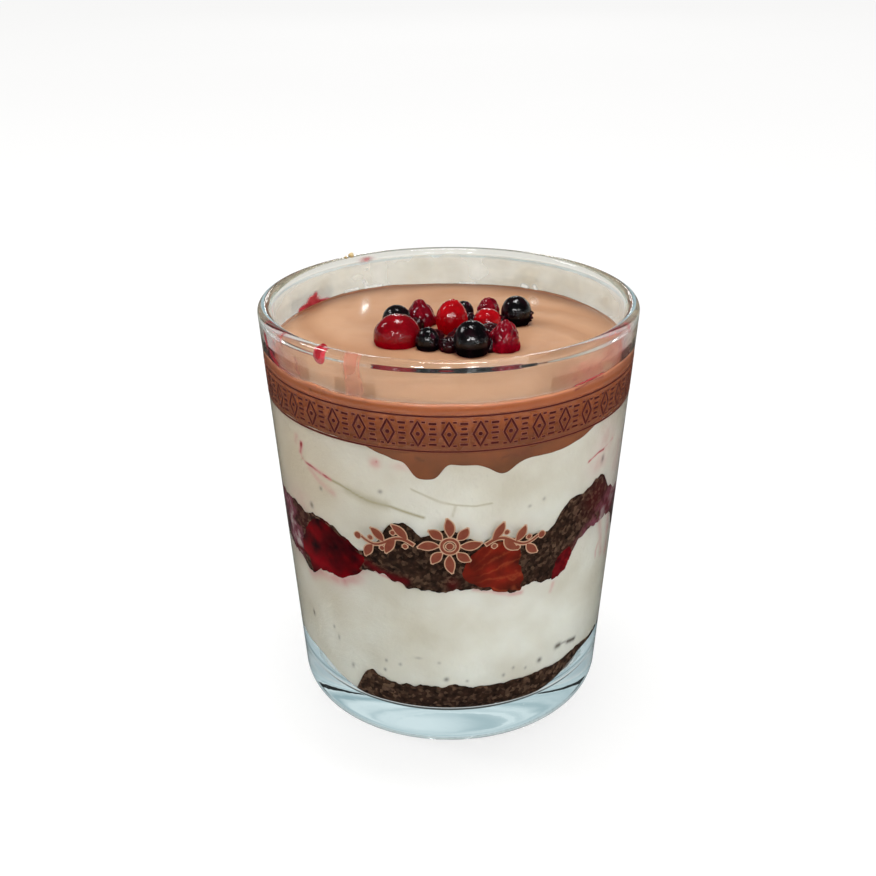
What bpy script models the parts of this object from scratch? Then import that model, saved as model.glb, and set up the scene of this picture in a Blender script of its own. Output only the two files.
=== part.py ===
"""A layered parfait in its glass tumbler, with a heap of mixed berries on top.

The origin is the middle of the foot, +Z is up and the shown side faces -Y. Sizes are in
millimetres and degrees, and MM turns them into Blender's metres. An azimuth counts from
the shown side, -Y, towards +X.
"""

import math

import bmesh
import bpy
from mathutils import Matrix, Vector

MM = 0.001

# The tumbler.
GLASS_HEIGHT = 97.0
RIM_RADIUS = 42.5
FOOT_CORNER_RADIUS = 36.2
FOOT_ROUNDING = 5.2
RIM_WALL = 2.3
FOOT_WALL = 2.8
FLOOR_HEIGHT = 8.6
FLOOR_ROUNDING = 5.0
PUNT_RADIUS = 27.0
PUNT_DEPTH = 1.4
REST_RING_RADIUS = 29.5
GLASS_SEGMENTS = 48
ARC_STEPS = 5

# Every piece keeps this gap to the one beside it.
GAP = 0.3

# Levels of the layers where nothing disturbs them, and the rings that carry each surface.
CRUMB_LEVEL = 16.9
CAKE_UNDERSIDE_LEVEL = 43.5
CAKE_TOP_LEVEL = 55.2
CHOCOLATE_UNDERSIDE_LEVEL = 77.5
CHOCOLATE_TOP_LEVEL = 87.5
RINGS = (0.42, 0.76, 1.0)
TOP_RINGS = (0.42, 0.8, 0.95, 1.0)
NOTCH_RING = 0.76
CORNER_STEPS = 4

# What lifts or lowers a layer at the glass: (azimuth, half width, rise, sharpness). A
# sharpness of 2 is a soft bell, and 8 is a step with a flat top.
CRUMB_LUMPS = (
    (-29.0, 3.0, 1.7, 2),
    (1.0, 3.0, 0.9, 2),
    (56.0, 9.0, 1.0, 2),
    (-64.0, 28.0, -5.6, 8),
    (124.0, 12.0, 1.4, 2),
    (165.0, 14.0, -1.3, 2),
    (205.0, 10.0, 1.6, 2),
)
CAKE_UNDERSIDE_LUMPS = (
    (-26.0, 7.0, 3.0, 2),
    (-56.0, 3.5, -2.6, 2),
    (-64.0, 11.0, -2.2, 2),
    (21.0, 4.5, -1.8, 2),
    (35.0, 4.0, -1.6, 2),
    (59.0, 14.5, 7.0, 6),
    (108.0, 14.0, 3.0, 2),
    (152.0, 18.0, -2.4, 2),
    (204.0, 16.0, 2.6, 2),
    (250.0, 14.0, -1.2, 2),
)
CAKE_TOP_LUMPS = (
    (-31.0, 6.0, -4.6, 2),
    (-16.0, 5.5, 4.4, 4),
    (-1.0, 5.0, 3.8, 2),
    (49.0, 11.5, 6.2, 6),
    (62.0, 6.0, 3.2, 2),
    (104.0, 16.0, 2.6, 2),
    (146.0, 12.0, -2.2, 2),
    (186.0, 16.0, 3.4, 4),
    (228.0, 12.0, -1.8, 2),
    (262.0, 12.0, 1.6, 2),
)
CHOCOLATE_UNDERSIDE_LUMPS = (
    (12.0, 34.0, -3.3, 8),
    (-7.0, 4.6, -3.4, 4),
    (16.0, 4.0, -2.8, 2),
    (110.0, 9.0, -2.4, 2),
    (152.0, 13.0, -3.6, 4),
    (205.0, 6.0, -4.6, 2),
    (250.0, 18.0, -2.0, 2),
)
CHOCOLATE_TOP_LUMPS = (
    (-43.0, 3.5, 0.5, 2),
    (-68.0, 12.0, 0.5, 2),
    (62.0, 14.0, 0.9, 2),
    (140.0, 16.0, 0.4, 2),
    (215.0, 18.0, 0.6, 2),
)
MENISCUS = 0.3

# The pieces of fruit set into the cake against the glass, as (first, last) azimuths.
COMPOTE_SPAN = (-56.0, -29.0)
STRAWBERRY_SPAN = (2.6, 24.4)
CHERRY_SPAN = (34.0, 43.0)
NOTCH_STEP = 0.8

# Azimuths are close together where the layers' edges show most.
FINE_FROM, FINE_TO, FINE_STEP = -68.0, 68.0, 4.0
COARSE_STEP = 8.0

# How far each berry sinks is left out: its foot is cut flat just clear of the chocolate.
BERRY_FOOT = CHOCOLATE_TOP_LEVEL + GAP
BERRY_SEGMENTS = 16
BERRY_RINGS = 10
RASPBERRY_SEGMENTS = 26
RASPBERRY_RINGS = 16
DRUPELET_ROWS = 5
DRUPELETS_ROUND = 8
DRUPELET_SIZE = 0.42

# name: (kind, centre, half sizes, tilt towards +X, turn about Z)
BERRIES = {
    "cranberry": ("cranberry", (-11.5, -4.4, 89.3), (5.3, 4.7, 4.8), 0, 0),
    "dark_currant_left": ("dark", (-11.9, 4.2, 89.4), (3.5, 3.5, 4.1), 0, 0),
    "raspberry_left": ("raspberry", (-6.5, 9.2, 89.3), (3.6, 3.5, 4.3), -4, 15),
    "dark_currant_small": ("dark", (-4.6, -8.3, 89.2), (2.6, 2.6, 3.3), 0, 0),
    "redcurrant": ("red", (0.7, 2.8, 90.9), (3.7, 3.7, 4.3), 4, 0),
    "dark_currant_behind": ("dark", (3.6, 12.0, 89.0), (2.4, 2.4, 2.9), 0, 0),
    "dark_currant_front": ("dark", (5.0, -10.8, 90.1), (4.0, 4.0, 4.6), 0, 0),
    "raspberry_back": ("raspberry", (9.4, 13.6, 88.9), (3.3, 3.0, 3.5), 6, 40),
    "redcurrant_right": ("red", (8.9, 5.4, 89.0), (3.3, 3.3, 3.2), 0, 0),
    "raspberry_front": ("raspberry", (12.4, -8.5, 89.7), (3.4, 3.4, 4.3), 8, 70),
    "dark_currant_right": ("dark", (15.8, 9.1, 89.9), (3.6, 3.6, 4.1), 0, 0),
}

# name: (colour, roughness, metallic, alpha)
MATERIALS = {
    "clear_glass": ((0.93, 0.95, 0.94), 0.03, 0.0, 0.35),
    "cream": ((0.83, 0.80, 0.70), 0.45, 0.0, 1.0),
    "chocolate_cream": ((0.46, 0.25, 0.14), 0.35, 0.0, 1.0),
    "dark_cake": ((0.075, 0.042, 0.026), 0.85, 0.0, 1.0),
    "compote": ((0.22, 0.006, 0.012), 0.2, 0.0, 1.0),
    "strawberry": ((0.42, 0.04, 0.02), 0.3, 0.0, 1.0),
    "red_berry": ((0.45, 0.006, 0.014), 0.12, 0.0, 1.0),
    "dark_berry": ((0.012, 0.010, 0.016), 0.1, 0.0, 1.0),
    "raspberry": ((0.26, 0.008, 0.022), 0.2, 0.0, 1.0),
}
BERRY_MATERIAL = {
    "cranberry": "red_berry",
    "red": "red_berry",
    "dark": "dark_berry",
    "raspberry": "raspberry",
}


def clear_scene():
    """Remove what the file holds."""
    for found in list(bpy.data.objects):
        bpy.data.objects.remove(found)


def material(name):
    """The Principled material of that name, made once."""
    made = bpy.data.materials.get(name)
    if made is None:
        colour, roughness, metallic, alpha = MATERIALS[name]
        made = bpy.data.materials.new(name)
        made.use_nodes = True
        shader = made.node_tree.nodes["Principled BSDF"]
        shader.inputs["Base Color"].default_value = (*colour, 1.0)
        shader.inputs["Roughness"].default_value = roughness
        shader.inputs["Metallic"].default_value = metallic
        shader.inputs["Alpha"].default_value = alpha
    return made


def add_object(name, mesh, finish):
    """Link the mesh as a smooth-shaded object with its material."""
    mesh.materials.append(material(finish))
    mesh.shade_smooth()
    mesh.set_sharp_from_angle(angle=math.radians(40))
    made = bpy.data.objects.new(name, mesh)
    bpy.context.scene.collection.objects.link(made)
    return made


def on_circle(azimuth, radius, height):
    """The point at that azimuth, radius and height, in metres."""
    turn = math.radians(azimuth)
    return Vector((radius * math.sin(turn), -radius * math.cos(turn), height)) * MM


def quarter_arc(centre, radius, start, steps, both_ends=True):
    """Points on a quarter circle in a radial section, turning anticlockwise from start."""
    first = 0 if both_ends else 1
    points = []
    for i in range(first, steps + 1):
        turn = math.radians(start + 90.0 * i / steps)
        points.append((centre[0] + radius * math.cos(turn), centre[1] + radius * math.sin(turn)))
    return points


def outer_radius(height):
    """The straight tapered outside of the glass."""
    return FOOT_CORNER_RADIUS + (RIM_RADIUS - FOOT_CORNER_RADIUS) * height / GLASS_HEIGHT


def wall_thickness(height):
    """The wall thins evenly from the foot to the rim."""
    return FOOT_WALL + (RIM_WALL - FOOT_WALL) * height / GLASS_HEIGHT


def inner_radius(height):
    """The inside of the glass, with the rounded corner above its floor."""
    corner_top = FLOOR_HEIGHT + FLOOR_ROUNDING
    straight = outer_radius(height) - wall_thickness(height)
    if height >= corner_top:
        return straight
    below = min(corner_top - height, FLOOR_ROUNDING)
    at_corner = outer_radius(corner_top) - wall_thickness(corner_top)
    return at_corner - FLOOR_ROUNDING + math.sqrt(FLOOR_ROUNDING**2 - below**2)


def bell(distance, half_width, sharpness):
    """1 at no distance and a half at the half width; a high sharpness makes a step."""
    return 0.5 ** (abs(distance / half_width) ** sharpness)


def level_at_glass(level, lumps, azimuth):
    """A layer's height where it meets the glass: its level with every lump added."""
    height = level
    for middle, half_width, rise, sharpness in lumps:
        apart = (azimuth - middle + 180.0) % 360.0 - 180.0
        height += rise * bell(apart, half_width, sharpness)
    return height


def surface_height(level, lumps, azimuth, share):
    """A layer's height at a share of the way out, where its lumps fade to the middle."""
    return level + (level_at_glass(level, lumps, azimuth) - level) * share**3


def layer_azimuths():
    """All azimuths of the layers: fine in front, coarse behind, and each notch's edges."""
    found = set()
    turn = FINE_FROM
    while turn <= FINE_TO:
        found.add(turn)
        turn += FINE_STEP
    gap = 360.0 - (FINE_TO - FINE_FROM)
    count = round(gap / COARSE_STEP)
    for i in range(1, count):
        found.add(FINE_TO + gap * i / count)
    edges = set()
    for first, last in (COMPOTE_SPAN, STRAWBERRY_SPAN, CHERRY_SPAN):
        for i in range(3):
            edges.add(first + i * NOTCH_STEP)
            edges.add(last - i * NOTCH_STEP)
    crowded = {a for a in found if any(abs(a - e) < NOTCH_STEP * 1.2 for e in edges)}
    return sorted((found - crowded) | edges)


def turned_solid(name, azimuths, section, finish):
    """A solid round the axis: section(azimuth) lists (radius, height) from axis to axis.

    The list starts at the middle of the underside and runs outwards, and the first and
    last points are the poles.
    """
    shape = bmesh.new()
    rings = [section(azimuth) for azimuth in azimuths]
    foot = shape.verts.new(on_circle(0.0, 0.0, rings[0][0][1]))
    crown = shape.verts.new(on_circle(0.0, 0.0, rings[0][-1][1]))
    grid = []
    for azimuth, ring in zip(azimuths, rings):
        grid.append([shape.verts.new(on_circle(azimuth, r, z)) for r, z in ring[1:-1]])
    for i, ring in enumerate(grid):
        following = grid[(i + 1) % len(grid)]
        shape.faces.new((foot, following[0], ring[0]))
        shape.faces.new((crown, ring[-1], following[-1]))
        for a, b, c, d in zip(ring, following, following[1:], ring[1:]):
            shape.faces.new((a, b, c, d))
    return finish_solid(name, shape, finish)


def arc_block(name, azimuths, section, finish):
    """A block along an arc: section(azimuth) is a closed outline of (radius, height)."""
    shape = bmesh.new()
    grid = []
    for azimuth in azimuths:
        grid.append([shape.verts.new(on_circle(azimuth, r, z)) for r, z in section(azimuth)])
    for ring, following in zip(grid, grid[1:]):
        for i in range(len(ring)):
            j = (i + 1) % len(ring)
            shape.faces.new((ring[i], following[i], following[j], ring[j]))
    shape.faces.new(grid[0])
    shape.faces.new(list(reversed(grid[-1])))
    return finish_solid(name, shape, finish)


def finish_solid(name, shape, finish):
    """Point every face outwards, split the faces into triangles and link the object."""
    bmesh.ops.recalc_face_normals(shape, faces=shape.faces)
    bmesh.ops.triangulate(shape, faces=shape.faces)
    mesh = bpy.data.meshes.new(name)
    shape.to_mesh(mesh)
    shape.free()
    return add_object(name, mesh, finish)


def build_glass():
    """The tumbler: a thick foot with a shallow punt, a tapered wall and a rounded rim."""
    half = RIM_WALL / 2
    corner_top = FLOOR_HEIGHT + FLOOR_ROUNDING
    at_corner = inner_radius(corner_top)
    foot_wall = outer_radius(FOOT_ROUNDING)
    punt = [
        (0.0, PUNT_DEPTH),
        (PUNT_RADIUS * 0.5, PUNT_DEPTH * 0.8),
        (PUNT_RADIUS, 0.25 * PUNT_DEPTH),
        (REST_RING_RADIUS, 0.0),
    ]
    foot_corner = quarter_arc(
        (foot_wall - FOOT_ROUNDING, FOOT_ROUNDING), FOOT_ROUNDING, -90.0, ARC_STEPS
    )
    outside = [(outer_radius(z), z) for z in (30.0, 60.0)]
    rim_middle = outer_radius(GLASS_HEIGHT - half) - half
    rim = quarter_arc((rim_middle, GLASS_HEIGHT - half), half, 0.0, ARC_STEPS - 1)
    rim += quarter_arc((rim_middle, GLASS_HEIGHT - half), half, 90.0, ARC_STEPS - 1, False)
    inside = [(inner_radius(z), z) for z in (60.0, 30.0)]
    floor_corner = [
        (
            at_corner - FLOOR_ROUNDING + FLOOR_ROUNDING * math.cos(math.radians(turn)),
            corner_top - FLOOR_ROUNDING * math.sin(math.radians(turn)),
        )
        for turn in (90.0 * i / ARC_STEPS for i in range(ARC_STEPS + 1))
    ]
    floor = [(PUNT_RADIUS * 0.5, FLOOR_HEIGHT), (0.0, FLOOR_HEIGHT)]
    profile = punt + foot_corner + outside + rim + inside + floor_corner + floor
    azimuths = [360.0 * i / GLASS_SEGMENTS for i in range(GLASS_SEGMENTS)]
    turned_solid("glass_tumbler", azimuths, lambda azimuth: profile, "clear_glass")


def in_notch(azimuth):
    """Whether the cake stands back here to make room for a piece of fruit."""
    for first, last in (COMPOTE_SPAN, STRAWBERRY_SPAN, CHERRY_SPAN):
        if first + NOTCH_STEP / 2 < azimuth < last - NOTCH_STEP / 2:
            return True
    return False


def surface_run(level, lumps, azimuth, shift, rings, reach=1.0):
    """(radius, height) from the axis to the glass along a layer's surface, moved by shift."""
    edge = level_at_glass(level, lumps, azimuth) + shift
    outermost = inner_radius(edge) - GAP
    run = [(0.0, level + shift)]
    for share in rings:
        height = surface_height(level, lumps, azimuth, share) + shift
        run.append((outermost * min(share, reach), height))
    return run


def build_crumb_base():
    """The crumbs on the floor, thin where they leave the glass on the left."""
    floor_radius = inner_radius(FLOOR_HEIGHT) - GAP

    def section(azimuth):
        edge = level_at_glass(CRUMB_LEVEL, CRUMB_LUMPS, azimuth) - GAP / 2
        low = FLOOR_HEIGHT + GAP
        side = []
        for i in range(CORNER_STEPS + 1):
            height = low + (edge - low) * (i / CORNER_STEPS) ** 1.6
            side.append((inner_radius(height) - GAP, height))
        floor = [(0.0, low), (floor_radius * 0.5, low), (floor_radius * 0.9, low)]
        top = surface_run(CRUMB_LEVEL, CRUMB_LUMPS, azimuth, -GAP / 2, RINGS)
        return floor + side + list(reversed(top))[1:]

    turned_solid("crumb_base", layer_azimuths(), section, "dark_cake")


def build_lower_cream():
    """The thick cream between the crumbs and the cake."""

    def section(azimuth):
        under = surface_run(CRUMB_LEVEL, CRUMB_LUMPS, azimuth, GAP / 2, RINGS)
        top = surface_run(CAKE_UNDERSIDE_LEVEL, CAKE_UNDERSIDE_LUMPS, azimuth, -GAP / 2, RINGS)
        low = under[-1][1]
        corner_top = FLOOR_HEIGHT + FLOOR_ROUNDING
        shares = (0.0, 0.35, 0.65, 1.0)
        heights = [low + (max(corner_top, low + 1.0) - low) * share for share in shares]
        side = [(inner_radius(height) - GAP, height) for height in heights]
        return under[:-1] + side + list(reversed(top))

    turned_solid("lower_cream", layer_azimuths(), section, "cream")


def build_cake():
    """The dark cake in the middle, standing back where fruit lies against the glass."""

    def section(azimuth):
        reach = NOTCH_RING if in_notch(azimuth) else 1.0
        under = surface_run(CAKE_UNDERSIDE_LEVEL, CAKE_UNDERSIDE_LUMPS, azimuth, GAP / 2, RINGS, reach)
        top = surface_run(CAKE_TOP_LEVEL, CAKE_TOP_LUMPS, azimuth, -GAP / 2, RINGS, reach)
        if reach < 1.0:
            inner = NOTCH_RING - GAP / inner_radius(CAKE_TOP_LEVEL)
            for run in (under, top):
                run[-2] = (run[-2][0] * 0.97, run[-2][1])
                run[-1] = (run[-1][0] * inner / NOTCH_RING, run[-2][1])
        middle = under[-1][1] * 0.5 + top[-1][1] * 0.5
        bulge = (under[-1][0] + top[-1][0]) / 2
        return under + [(bulge, middle)] + list(reversed(top))

    turned_solid("cake_middle", layer_azimuths(), section, "dark_cake")


def build_set_in_fruit(name, span, finish, end_height):
    """A piece of fruit in a notch of the cake, drawn in to a share of its height at its ends."""
    first, last = span
    inside = [a for a in layer_azimuths() if first + 1.9 * NOTCH_STEP < a < last - 1.9 * NOTCH_STEP]
    clearance = 1.5 * GAP

    def section(azimuth):
        low = surface_run(CAKE_UNDERSIDE_LEVEL, CAKE_UNDERSIDE_LUMPS, azimuth, clearance, RINGS)
        high = surface_run(CAKE_TOP_LEVEL, CAKE_TOP_LUMPS, azimuth, -clearance, RINGS)
        (r_low_in, z_low_in), (r_low, z_low) = low[-2:]
        (r_high_in, z_high_in), (r_high, z_high) = high[-2:]
        along = 2.0 * (azimuth - inside[0]) / (inside[-1] - inside[0]) - 1.0
        share = end_height + (1.0 - end_height) * math.sqrt(max(0.0, 1.0 - along**4))
        middle = (z_low + z_high) / 2
        mouth = (z_high - z_low) / 2 * share
        middle_in = (z_low_in + z_high_in) / 2
        mouth_in = (z_high_in - z_low_in) / 2 * share * 0.85
        return [
            (r_low_in + 2 * GAP, middle_in - mouth_in),
            (r_low * (1 - 0.1 * (1 - share)), middle - mouth),
            ((r_low + r_high) / 2, middle),
            (r_high * (1 - 0.1 * (1 - share)), middle + mouth),
            (r_high_in + 2 * GAP, middle_in + mouth_in),
        ]

    arc_block(name, inside, section, finish)


def build_upper_cream():
    """The cream between the cake and the chocolate."""

    def section(azimuth):
        under = surface_run(CAKE_TOP_LEVEL, CAKE_TOP_LUMPS, azimuth, GAP / 2, RINGS)
        top = surface_run(CHOCOLATE_UNDERSIDE_LEVEL, CHOCOLATE_UNDERSIDE_LUMPS, azimuth, -GAP / 2, RINGS)
        return under + list(reversed(top))

    turned_solid("upper_cream", layer_azimuths(), section, "cream")


def build_chocolate():
    """The chocolate cream with its flat shown top, which climbs a little at the glass."""

    def section(azimuth):
        under = surface_run(CHOCOLATE_UNDERSIDE_LEVEL, CHOCOLATE_UNDERSIDE_LUMPS, azimuth, GAP / 2, RINGS)
        edge = level_at_glass(CHOCOLATE_TOP_LEVEL, CHOCOLATE_TOP_LUMPS, azimuth) + MENISCUS
        outermost = inner_radius(edge) - GAP
        top = [(0.0, CHOCOLATE_TOP_LEVEL)]
        for share in TOP_RINGS[:-1]:
            top.append((outermost * share, CHOCOLATE_TOP_LEVEL))
        top.append((outermost, edge))
        return under + list(reversed(top))

    turned_solid("chocolate_cream", layer_azimuths(), section, "chocolate_cream")


def drupelets():
    """Directions of a raspberry's drupelets: rows round it, each half a step from the last."""
    found = [Vector((0.0, 0.0, 1.0))]
    for row in range(1, DRUPELET_ROWS):
        polar = math.pi * row / DRUPELET_ROWS
        count = max(3, round(DRUPELETS_ROUND * math.sin(polar)))
        for i in range(count):
            turn = 2 * math.pi * (i + 0.5 * (row % 2)) / count
            found.append(
                Vector((math.sin(polar) * math.cos(turn), math.sin(polar) * math.sin(turn), math.cos(polar)))
            )
    return found


def raspberry_reach(direction, bumps):
    """How far a raspberry reaches that way, as a share: the nearest drupelet's round top."""
    best = 1.0 - DRUPELET_SIZE * 0.5
    for bump in bumps:
        centre = bump * (1.0 - DRUPELET_SIZE)
        along = direction.dot(centre)
        inside = along * along - centre.length_squared + DRUPELET_SIZE**2
        if inside > 0.0:
            best = max(best, along + math.sqrt(inside))
    return best


def build_berry(name, kind, centre, half_sizes, tilt, turn):
    """A berry of that kind, with its foot cut flat just clear of the chocolate."""
    rough = kind == "raspberry"
    shape = bmesh.new()
    bmesh.ops.create_uvsphere(
        shape,
        u_segments=RASPBERRY_SEGMENTS if rough else BERRY_SEGMENTS,
        v_segments=RASPBERRY_RINGS if rough else BERRY_RINGS,
        radius=1.0,
    )
    if rough:
        bumps = drupelets()
        for vert in shape.verts:
            vert.co *= raspberry_reach(vert.co.normalized(), bumps)
    size = Matrix.Diagonal((*half_sizes, 1.0))
    lean = Matrix.Rotation(math.radians(tilt), 4, "Y")
    spin = Matrix.Rotation(math.radians(turn), 4, "Z")
    place = Matrix.Translation(Vector(centre))
    shape.transform(Matrix.Scale(MM, 4) @ place @ spin @ lean @ size)
    cut = bmesh.ops.bisect_plane(
        shape,
        geom=shape.verts[:] + shape.edges[:] + shape.faces[:],
        plane_co=Vector((0.0, 0.0, BERRY_FOOT)) * MM,
        plane_no=(0.0, 0.0, 1.0),
        clear_inner=True,
    )
    rim = [edge for edge in cut["geom_cut"] if isinstance(edge, bmesh.types.BMEdge)]
    bmesh.ops.holes_fill(shape, edges=rim, sides=0)
    finish_solid(name, shape, BERRY_MATERIAL[kind])


def main():
    """Build the tumbler, its layers from the floor up, the set-in fruit and the berries."""
    clear_scene()
    build_glass()
    build_crumb_base()
    build_lower_cream()
    build_cake()
    build_set_in_fruit("berry_compote", COMPOTE_SPAN, "compote", 0.35)
    build_set_in_fruit("strawberry_piece", STRAWBERRY_SPAN, "strawberry", 0.75)
    build_set_in_fruit("cherry_piece", CHERRY_SPAN, "compote", 0.5)
    build_upper_cream()
    build_chocolate()
    for name, berry in BERRIES.items():
        build_berry(name, *berry)


main()
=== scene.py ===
"""The looks of a layered parfait in its glass tumbler, with mixed berries on top.

Sizes are in millimetres and degrees, and MM turns them into metres. An azimuth counts from
the shown side, -Y, towards +X. Every surface is worked out on a whole grid with numpy.
"""

import itertools
import logging
import math
from dataclasses import dataclass, field
from enum import Enum
from typing import Callable, Sequence

import bpy
import numpy as np
from mathutils import Matrix

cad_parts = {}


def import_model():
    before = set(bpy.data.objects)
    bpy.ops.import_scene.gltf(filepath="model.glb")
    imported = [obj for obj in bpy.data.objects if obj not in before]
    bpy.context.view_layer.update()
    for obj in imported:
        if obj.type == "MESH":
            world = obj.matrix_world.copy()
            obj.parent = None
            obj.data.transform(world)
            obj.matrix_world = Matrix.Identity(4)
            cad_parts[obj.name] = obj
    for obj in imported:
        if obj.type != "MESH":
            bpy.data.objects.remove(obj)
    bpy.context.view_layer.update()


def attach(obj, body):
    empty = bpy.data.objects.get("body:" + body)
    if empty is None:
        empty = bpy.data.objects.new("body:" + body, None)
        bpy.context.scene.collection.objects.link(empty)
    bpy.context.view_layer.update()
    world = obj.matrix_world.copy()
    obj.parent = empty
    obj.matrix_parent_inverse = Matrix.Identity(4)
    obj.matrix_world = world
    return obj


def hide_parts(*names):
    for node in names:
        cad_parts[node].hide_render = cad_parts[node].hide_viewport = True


MM = 0.001
LOG = logging.getLogger("parfait")
Place = tuple[float, float]
Point = tuple[float, float, float]
Colour = tuple[float, float, float]
Lump = tuple[float, float, float, float]


# Shared arithmetic.


def paint(red: int, green: int, blue: int) -> Colour:
    """Linear colour of a screen colour: the screen's curve undone, channel by channel.

    Args:
        red, green, blue: the screen colour, from 0 to 255.

    Returns:
        The linear colour.
    """
    share = np.array((red, green, blue)) / 255.0
    linear = np.where(share <= 0.04045, share / 12.92, ((share + 0.055) / 1.055) ** 2.4)
    return tuple(float(value) for value in linear)


def bell(distance: np.ndarray, half_width: float, sharpness: float) -> np.ndarray:
    """A half to the power of (distance over half width) to the power of sharpness."""
    return 0.5 ** (np.abs(distance / half_width) ** sharpness)


def turn_between(azimuth: np.ndarray, middle: float) -> np.ndarray:
    """The signed turn from middle to azimuth, between -180 and 180."""
    return (azimuth - middle + 180.0) % 360.0 - 180.0


def smoothstep(low: float, high: float, value: np.ndarray) -> np.ndarray:
    """0 below low and 1 above high, with 3t^2 - 2t^3 between them."""
    share = np.clip((value - low) / (high - low), 0.0, 1.0)
    return share * share * (3.0 - 2.0 * share)


def from_cylinder(azimuth: np.ndarray, radius: np.ndarray, height: np.ndarray) -> np.ndarray:
    """Points (radius sin azimuth, -radius cos azimuth, height), in millimetres.

    Args:
        azimuth, radius, height: arrays that broadcast together.

    Returns:
        An array of points, with x, y and z last.
    """
    turn = np.radians(azimuth)
    azimuth, radius, height = np.broadcast_arrays(turn, radius, height)
    return np.stack([radius * np.sin(turn), -radius * np.cos(turn), height], axis=-1)


def to_cylinder(points: np.ndarray) -> tuple[np.ndarray, np.ndarray, np.ndarray]:
    """(azimuth, radius, height) of each point: the turn from -Y, and the distance off axis."""
    azimuth = np.degrees(np.arctan2(points[..., 0], -points[..., 1]))
    return azimuth, np.hypot(points[..., 0], points[..., 1]), points[..., 2]


def all_ways(rows: int, columns: int) -> np.ndarray:
    """Unit vectors by ring and column, from just above the low pole to just under the high one.

    Args:
        rows, columns: the grid's size.

    Returns:
        The unit vectors, by ring and column.
    """
    polar = np.linspace(np.pi, 0.0, rows + 2)[1:-1][:, None]
    turn = np.linspace(0.0, 2 * np.pi, columns, endpoint=False)[None]
    parts = (np.sin(polar) * np.cos(turn), np.sin(polar) * np.sin(turn), np.cos(polar) + 0 * turn)
    return np.stack(parts, axis=-1)


@dataclass(frozen=True)
class Grain:
    """Noise in space that is the same on every run."""

    seed: int

    def dice(self, cells: np.ndarray, salt: int = 0) -> np.ndarray:
        """A number from 0 to 1 for each whole cell, by mixing its three indices and the seed.

        Args:
            cells: whole numbers, three to a cell.
            salt: sets several rolls for one cell apart.

        Returns:
            One number for each cell.
        """
        mixed = cells[..., 0] * 73856093 ^ cells[..., 1] * 19349663 ^ cells[..., 2] * 83492791
        mixed = (mixed + (self.seed + 31 * salt) * 374761393) & 0x7FFFFFFF
        mixed = ((mixed ^ (mixed >> 13)) * 1274126177) & 0x7FFFFFFF
        return ((mixed ^ (mixed >> 16)) & 0xFFFF) / 65535.0

    def smooth(self, points: np.ndarray, scale: float) -> np.ndarray:
        """Soft noise from -1 to 1: dice on a cubic lattice, blended by 3t^2 - 2t^3.

        Args:
            points: places in millimetres.
            scale: the lattice's spacing.

        Returns:
            One value for each point.
        """
        spots = points / scale
        cells = np.floor(spots).astype(np.int64)
        part = spots - cells
        part = part * part * (3.0 - 2.0 * part)
        total = np.zeros(points.shape[:-1])
        for corner in itertools.product((0, 1), repeat=3):
            step = np.array(corner)
            weight = np.where(step == 1, part, 1.0 - part).prod(axis=-1)
            total += weight * self.dice(cells + step)
        return 2.0 * total - 1.0

    def layered(self, points: np.ndarray, scale: float, layers: int = 3) -> np.ndarray:
        """Soft noise summed at halving scales and halving strengths.

        Args:
            points: places in millimetres.
            scale: the widest lattice's spacing.
            layers: how many scales are summed.

        Returns:
            One value for each point.
        """
        total = np.zeros(points.shape[:-1])
        for layer in range(layers):
            total += self.smooth(points + 17.3 * layer, scale / 2**layer) / 2**layer
        return total

    def crumbs(self, points: np.ndarray, scale: float) -> np.ndarray:
        """Round lumps: one less the distance to the nearest lump's middle, over the scale.

        Args:
            points: places in millimetres.
            scale: the usual distance between lumps.

        Returns:
            One height for each point: near 1 on a lump and falling between lumps.
        """
        spots = points / scale
        cells = np.floor(spots).astype(np.int64)
        nearest = np.full(points.shape[:-1], 9.0)
        for shift in itertools.product((-1, 0, 1), repeat=3):
            near = cells + np.array(shift)
            jitter = np.stack([self.dice(near, salt) for salt in (1, 2, 3)], axis=-1)
            nearest = np.minimum(nearest, ((near + jitter - spots) ** 2).sum(axis=-1))
        return 1.0 - np.sqrt(nearest)


# Meshes from grids.


def grid_faces(rows: int, columns: int, wrap_rows: bool, wrap_columns: bool) -> np.ndarray:
    """Four-sided faces between neighbouring points of a grid stored row by row.

    Args:
        rows, columns: the grid's size.
        wrap_rows: whether the last row joins the first.
        wrap_columns: whether the last column joins the first.

    Returns:
        Point numbers, four to a face, that turn left when seen from outside.
    """
    down = np.arange(rows if wrap_rows else rows - 1)[:, None]
    over = np.arange(columns if wrap_columns else columns - 1)[None, :]
    next_down = (down + 1) % rows * columns
    next_over = (over + 1) % columns
    corners = (down * columns + over, down * columns + next_over)
    corners += (next_down + next_over, next_down + over)
    return np.stack(np.broadcast_arrays(*corners), axis=-1).reshape(-1, 4)


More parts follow.
